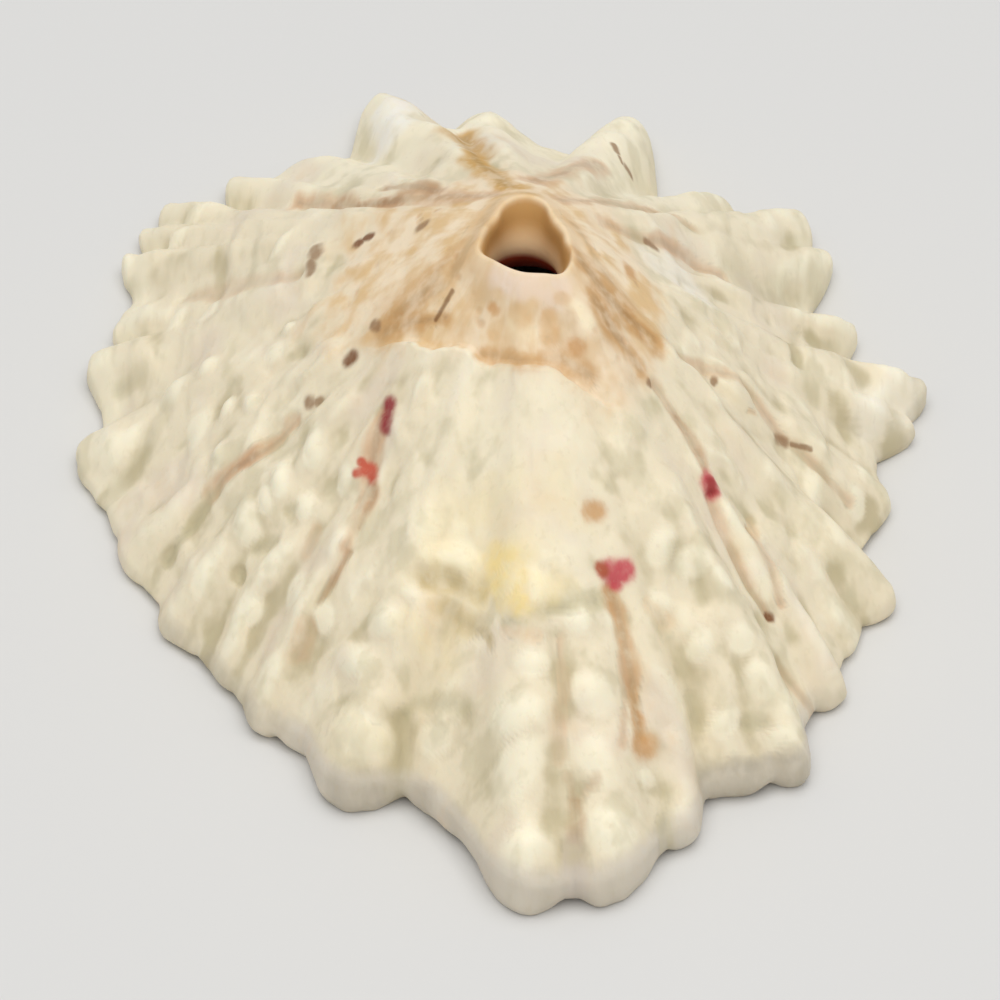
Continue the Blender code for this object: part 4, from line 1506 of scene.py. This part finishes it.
    def make(self, found: list[Found]) -> bpy.types.Material:
        """Make the material.

        Args:
            found: the marks with their places on the shell.

        Returns:
            The finished material.
        """
        recipe = Recipe("shell_chalky")
        place = recipe.scaled(recipe.node("ShaderNodeTexCoord", output="Object"), 1.0 / MM)
        colour, relief, shade = self.outside(recipe, place, found)
        inside = recipe.painted("inside")
        polish = 1.0 - inside * self.inside_calm
        roughness = self.roughness + shade * self.shade_roughness
        roughness = roughness + (relief - self.relief_middle) * self.relief_roughness * polish
        bead, rim = recipe.painted("bead"), recipe.painted("rim")
        calm = polish * (1.0 - bead * self.bead_calm) * (1.0 - rim * self.rim_calm)
        inputs = {"Strength": self.bump_strength, "Distance": self.bump_depth * MM, "Height": relief * calm}
        recipe.set(
            Base_Color=self.inside(recipe, colour, inside),
            Roughness=roughness - inside * self.inside_gloss,
            Normal=recipe.node("ShaderNodeBump", {}, inputs, "Normal"),
            Metallic=0.0,
            IOR=self.ior,
            Specular_IOR_Level=self.specular,
            Subsurface_Weight=self.glow,
            Subsurface_Radius=self.glow_radius,
            Subsurface_Scale=self.glow_depth * MM,
        )
        return recipe.material


@dataclass(frozen=True)
class InnerPaint:
    """Where the colours inside start and are full, as shares of the throat's or the hollow's rings."""

    throat_porcelain: Span = (0.42, 0.30)
    throat_in: Span = (0.25, 0.35)
    throat_out: Span = (0.98, 0.82)
    depth: Span = (0.68, 0.38)
    callus_in: Span = (0.0, 0.12)
    callus_out: Span = (0.43, 0.38)
    hollow_porcelain: Span = (0.0, 0.1)
    scar_in: Span = (0.38, 0.42)
    scar_out: Span = (0.60, 0.55)

    def fields(self, throat: int, outside: int, inside: int) -> dict[str, Array]:
        """Give the fields that the finish reads, one number for each ring.

        Args:
            throat, outside, inside: how many rings the throat, the outer skin and the hollow have.

        Returns:
            Each field by its name.
        """
        up = np.arange(throat) / (throat - 1)
        into = np.arange(inside) / inside
        bare, none = np.zeros(throat), np.zeros(inside)
        callus = ramp(up, *self.callus_in) * ramp(up, *self.callus_out)
        scar = ramp(into, *self.scar_in) * ramp(into, *self.scar_out)
        ends = {
            "inside": (ramp(up, *self.throat_porcelain), ramp(into, *self.hollow_porcelain)),
            "throat": (ramp(up, *self.throat_in) * ramp(up, *self.throat_out), none),
            "depth": (ramp(up, *self.depth), none),
            "scar": (bare, scar),
            "callus": (callus, none),
        }
        middle = np.zeros(outside)
        return {name: np.concatenate([first, middle, last]) for name, (first, last) in ends.items()}


@dataclass
class Shell:
    """The whole shell: one closed skin from the throat, over the flank and the margin, to the hollow."""

    eye: Eye
    flank: FlankForm = FlankForm()
    edge: EdgeForm = EdgeForm()
    chips: ChipForm = ChipForm()
    wear: WearForm = WearForm()
    lumps: LumpForm = LumpForm()
    beads: BeadForm = BeadForm()
    streaks: StreakForm = StreakForm()
    inner: InnerPaint = InnerPaint()
    finish: ShellFinish = ShellFinish()
    sides: int = 640
    top_rings: int = 30
    flank_rings: int = 100
    hollow_rings: int = 24
    corner_rings: int = 3
    brim_rows: tuple[int, int] = (0, 3)
    foot_rows: tuple[int, int] = (-4, -1)
    top_end: float = 0.985
    step_gap: float = 0.004
    fan_radius: float = 6.0
    worn_calm: float = 0.65
    bead_calm: float = 0.5
    bead_blur: int = 5
    relief_shares: Span = (0.0, 0.13)
    rim_shares: Span = (0.12, 0.0)
    pitted_shares: Span = (0.02, 0.07)

    def shares(self, azimuth: Array) -> Array:
        """Give the share of every ring at every side: the worn top's rings, then the flank's."""
        edge = self.wear.top_edge(azimuth)
        top = np.linspace(0.0, self.top_end, self.top_rings)[:, None] * edge
        below = edge + (1.0 - edge) * np.linspace(self.step_gap, 1.0, self.flank_rings)[:, None]
        return np.concatenate([top, below])

    def fan(self, azimuth: Array, points: Array) -> Array:
        """Give coordinates that spread with the ribs: round the keyhole, and away from it.

        Noise that is read at them widens towards the margin, as what grows on a shell does.

        Args:
            azimuth: where the points are round the keyhole.
            points: the points themselves.

        Returns:
            Cosine and sine of the azimuth, and the distance from the keyhole on the bed, as (..., 3).
        """
        distance, _ = self.flank.ring(BED.of(points))
        angle = np.radians(azimuth)
        across, along = self.fan_radius * np.cos(angle), self.fan_radius * np.sin(angle)
        return np.stack([across, along, distance], axis=-1)

    def outer_skin(self, sides: Array) -> tuple[Array, dict[str, Array], list[Found]]:
        """Shape the worn top and the flank, and paint what the finish reads.

        Args:
            sides: the azimuth of each side.

        Returns:
            The points as (ring, side, 3), the painted attributes, and the marks' places.
        """
        flank, wear, chips = self.flank, self.wear, self.chips
        share = self.shares(sides)
        azimuth = np.broadcast_to(sides, share.shape)
        top = np.zeros_like(share)
        top[: self.top_rings] = 1.0
        worn = wear.worn(azimuth, share, top)
        lip = ramp(share, *wear.lip_shares) * chips.thick(flank, azimuth)

        smooth = flank.place(azimuth, flank.profile(azimuth, share, np.zeros_like(share)))
        fan = self.fan(azimuth, smooth)
        ribs = wear.ribs(flank, azimuth, share, smooth)
        surface = Surface(flank.place(azimuth, flank.profile(azimuth, share, ribs)))
        beads, crown = self.beads.raised(surface, self.eye)
        stain_and_painted_light, furrow = self.streaks.drawn(surface, self.eye)

        lumps = self.lumps.height(azimuth, share, smooth, fan, lip) - furrow
        relief = ribs + lumps * (1.0 - self.worn_calm * worn)
        under_beads = self.bead_calm * crown * blurred(relief, self.bead_blur)
        relief = relief * (1.0 - self.bead_calm * crown) + (beads + under_beads)
        relief = relief * ramp(share, *self.relief_shares)
        radius, height = flank.profile(azimuth, share, relief - wear.sunk(azimuth, share, top))
        radius = radius + chips.nibble(flank, sides) * ramp(share, *chips.shares)
        points = flank.place(azimuth, (radius, height))

        places = surface.seen_at(self.eye, [pixel for mark in MARKS for pixel in (mark.start, mark.end)])
        ends = [points[place] for place in places]
        marks = [(m.tint, m.radius, a, b) for m, a, b in zip(MARKS, ends[::2], ends[1::2])]
        painted = {
            "cavity": wear.cavity(azimuth, relief),
            # Painted highlight: the bead crowns and the lit patches
            "bead": wear.painted_highlights(azimuth, share, crown),
            "worn": worn,
            "pitted": worn * ramp(share, *self.pitted_shares),
            "lip": lip,
            "rim": ramp(share, *self.rim_shares),
            "stain_and_painted_light": stain_and_painted_light,
            "fan": np.concatenate([fan, np.ones(share.shape + (1,))], axis=-1),
        }
        return points, painted, marks

    def build(self) -> bpy.types.Object:
        """Build the shell.

        Returns:
            The shell's object, with its place in its mesh.
        """
        fine = np.arange(self.sides) * 360.0 / self.sides
        coarse = fine[::2]
        points, painted, marks = self.outer_skin(fine)
        flank, edge = self.flank, self.edge

        margin = self.chips.chipped(flank, fine, edge.margin(flank, fine))
        foot = [flank.ring(points[row]) for row in self.foot_rows]
        rounded = curve_through(foot + margin + edge.hollow(flank, fine, 2)[:1], self.corner_rings)
        rounded = self.chips.roughened(flank, fine, rounded[1:])
        inner = tuple(part[::2] for part in margin[-1])
        hollow = edge.fluted_hollow(flank, coarse, self.hollow_rings)
        brim = [flank.ring(points[row, ::2]) for row in self.brim_rows]
        throat = curve_through(hollow[-1:] + edge.keyhole(flank, coarse) + brim, self.corner_rings + 1)

        rings = [flank.place(coarse, ring) for ring in throat]
        rings += list(points[: self.top_rings, ::2]) + list(points[self.top_rings :])
        rings += [flank.place(fine, ring) for ring in rounded]
        rings += [flank.place(coarse, ring) for ring in [inner] + hollow]
        low, high = (np.array(corner) / MM for corner in cad_box)
        vertices = np.clip(np.concatenate(rings), low, high)

        counts = [len(ring) for ring in rings]
        mesh = bpy.data.meshes.new("shell_skin")
        mesh.from_pydata((vertices * MM).tolist(), [], self.faces(counts))
        mesh.shade_smooth()
        self.paint(mesh, painted, counts, len(throat), len(rounded))
        mesh.validate()
        shell = bpy.data.objects.new("limpet_skin", mesh)
        bpy.context.scene.collection.objects.link(shell)
        mesh.materials.append(self.finish.make(marks))
        return shell

    @staticmethod
    def faces(counts: list[int]) -> list[list[int]]:
        """Join each ring to the next, and the last to the first.

        Two rings of a like count are joined by squares. A ring with half its neighbour's count
        is joined by three triangles for each of its sides.

        Args:
            counts: how many vertices each ring has, in order.

        Returns:
            The corners of every face.
        """
        starts = np.concatenate([[0], np.cumsum(counts)[:-1]])
        faces: list[list[int]] = []
        for ring, (start, count) in enumerate(zip(starts, counts)):
            after = (ring + 1) % len(counts)
            next_start, next_count = starts[after], counts[after]
            side = np.arange(min(count, next_count))
            turned = (side + 1) % len(side)
            if count == next_count:
                corners = [start + side, next_start + side, next_start + turned, start + turned]
                faces += np.stack(corners, axis=1).tolist()
                continue
            half, full = (start, next_start) if count < next_count else (next_start, start)
            first, middle, last = 2 * side, 2 * side + 1, (2 * side + 2) % (2 * len(side))
            fans = [
                [half + side, full + first, full + middle],
                [half + side, full + middle, half + turned],
                [half + turned, full + middle, full + last],
            ]
            for fan in fans:
                ordered = fan if count < next_count else fan[::-1]
                faces += np.stack(ordered, axis=1).tolist()
        return faces

    def paint(self, mesh: bpy.types.Mesh, painted: dict[str, Array], counts: list[int], throat: int,
              rounded: int) -> None:
        """Write the attributes that the finish reads into the mesh.

        Args:
            mesh: the shell's mesh.
            painted: the outer skin's attributes, as (ring, side).
            counts: how many vertices each ring has.
            throat: how many rings the throat has.
            rounded: how many rings the margin's edge has.
        """
        outside = self.top_rings + self.flank_rings + rounded
        inside = len(counts) - throat - outside
        for name, rows in self.inner.fields(throat, outside, inside).items():
            self.write(mesh, name, np.repeat(rows, counts))
        for name, grid in painted.items():
            first, last = grid[0, ::2], grid[-1]
            rows = [first] * throat + list(grid[: self.top_rings, ::2]) + list(grid[self.top_rings :])
            rows += [last] * rounded + [last[::2]] * inside
            self.write(mesh, name, np.concatenate(rows))

    @staticmethod
    def write(mesh: bpy.types.Mesh, name: str, values: Array) -> None:
        """Store numbers, or colours with four channels, on the mesh's points."""
        kind, field = ("FLOAT_COLOR", "color") if values.ndim == 2 else ("FLOAT", "value")
        attribute = mesh.attributes.new(name, kind, "POINT")
        attribute.data.foreach_set(field, values.astype(np.float32).ravel())


@dataclass(frozen=True)
class Studio:
    """A plain pale floor under a large soft light, and the camera. Its sizes are in metres."""

    eye: Eye
    floor_radius: float = 3.0
    floor_sides: int = 96
    floor_colour: tuple = (214, 213, 210)
    floor_roughness: float = 0.8
    air_colour: tuple = (232, 233, 236)
    air_strength: float = 0.58
    lamp_size: float = 0.45
    lamp_power: float = 1.31
    lamp_place: tuple = (0.02, -0.06, 0.40)
    nearest: float = 0.01

    def floor(self) -> bpy.types.Object:
        """Lay the floor: a flat disc of one face."""
        turn = np.arange(self.floor_sides) * 2.0 * math.pi / self.floor_sides
        rim = np.stack([np.cos(turn), np.sin(turn), 0.0 * turn], axis=-1) * self.floor_radius
        mesh = bpy.data.meshes.new("floor")
        mesh.from_pydata(rim.tolist(), [], [list(range(self.floor_sides))])
        recipe = Recipe("floor_pale")
        recipe.set(Base_Color=linear_colour(*self.floor_colour), Roughness=self.floor_roughness)
        mesh.materials.append(recipe.material)
        floor = bpy.data.objects.new("floor", mesh)
        bpy.context.scene.collection.objects.link(floor)
        return floor

    def lights(self) -> None:
        """Hang the lamp over the shell, and let the air glow softly all round."""
        lamp = bpy.data.lights.new("lamp", "AREA")
        lamp.shape = "DISK"
        lamp.size = self.lamp_size
        lamp.energy = self.lamp_power
        hung = bpy.data.objects.new("lamp", lamp)
        hung.location = self.lamp_place
        hung.rotation_euler = (-Vector(self.lamp_place)).to_track_quat("-Z", "Y").to_euler()
        bpy.context.scene.collection.objects.link(hung)
        world = bpy.data.worlds.new("air")
        world.use_nodes = True
        glow = world.node_tree.nodes["Background"]
        glow.inputs["Color"].default_value = linear_colour(*self.air_colour)
        glow.inputs["Strength"].default_value = self.air_strength
        bpy.context.scene.world = world
        bpy.context.scene.view_settings.view_transform = "Standard"

    def camera(self) -> None:
        """Stand the camera where the photograph was taken from."""
        data = bpy.data.cameras.new("camera")
        data.sensor_width = SENSOR_WIDTH
        data.lens = self.eye.focal_pixels() * SENSOR_WIDTH / PICTURE_SIDE
        data.clip_start = self.nearest
        camera = bpy.data.objects.new("camera", data)
        camera.location = Vector(self.eye.position() * MM)
        camera.rotation_mode = "QUATERNION"
        camera.rotation_quaternion = (-Vector(self.eye.axes()[2])).to_track_quat("-Z", "Y")
        bpy.context.scene.collection.objects.link(camera)
        bpy.context.scene.camera = camera


def main() -> None:
    """Build the shell and the studio."""
    logging.basicConfig(level=logging.INFO, format="%(message)s")
    eye = Eye()
    shell = Shell(eye).build()
    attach(shell, "root")
    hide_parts("limpet_shell")
    log.info("limpet_skin: %d faces", len(shell.data.polygons))
    studio = Studio(eye)
    studio.floor()
    studio.lights()
    studio.camera()
    log.info("studio: floor, lamp, camera")


if __name__ == "__main__":
    main()
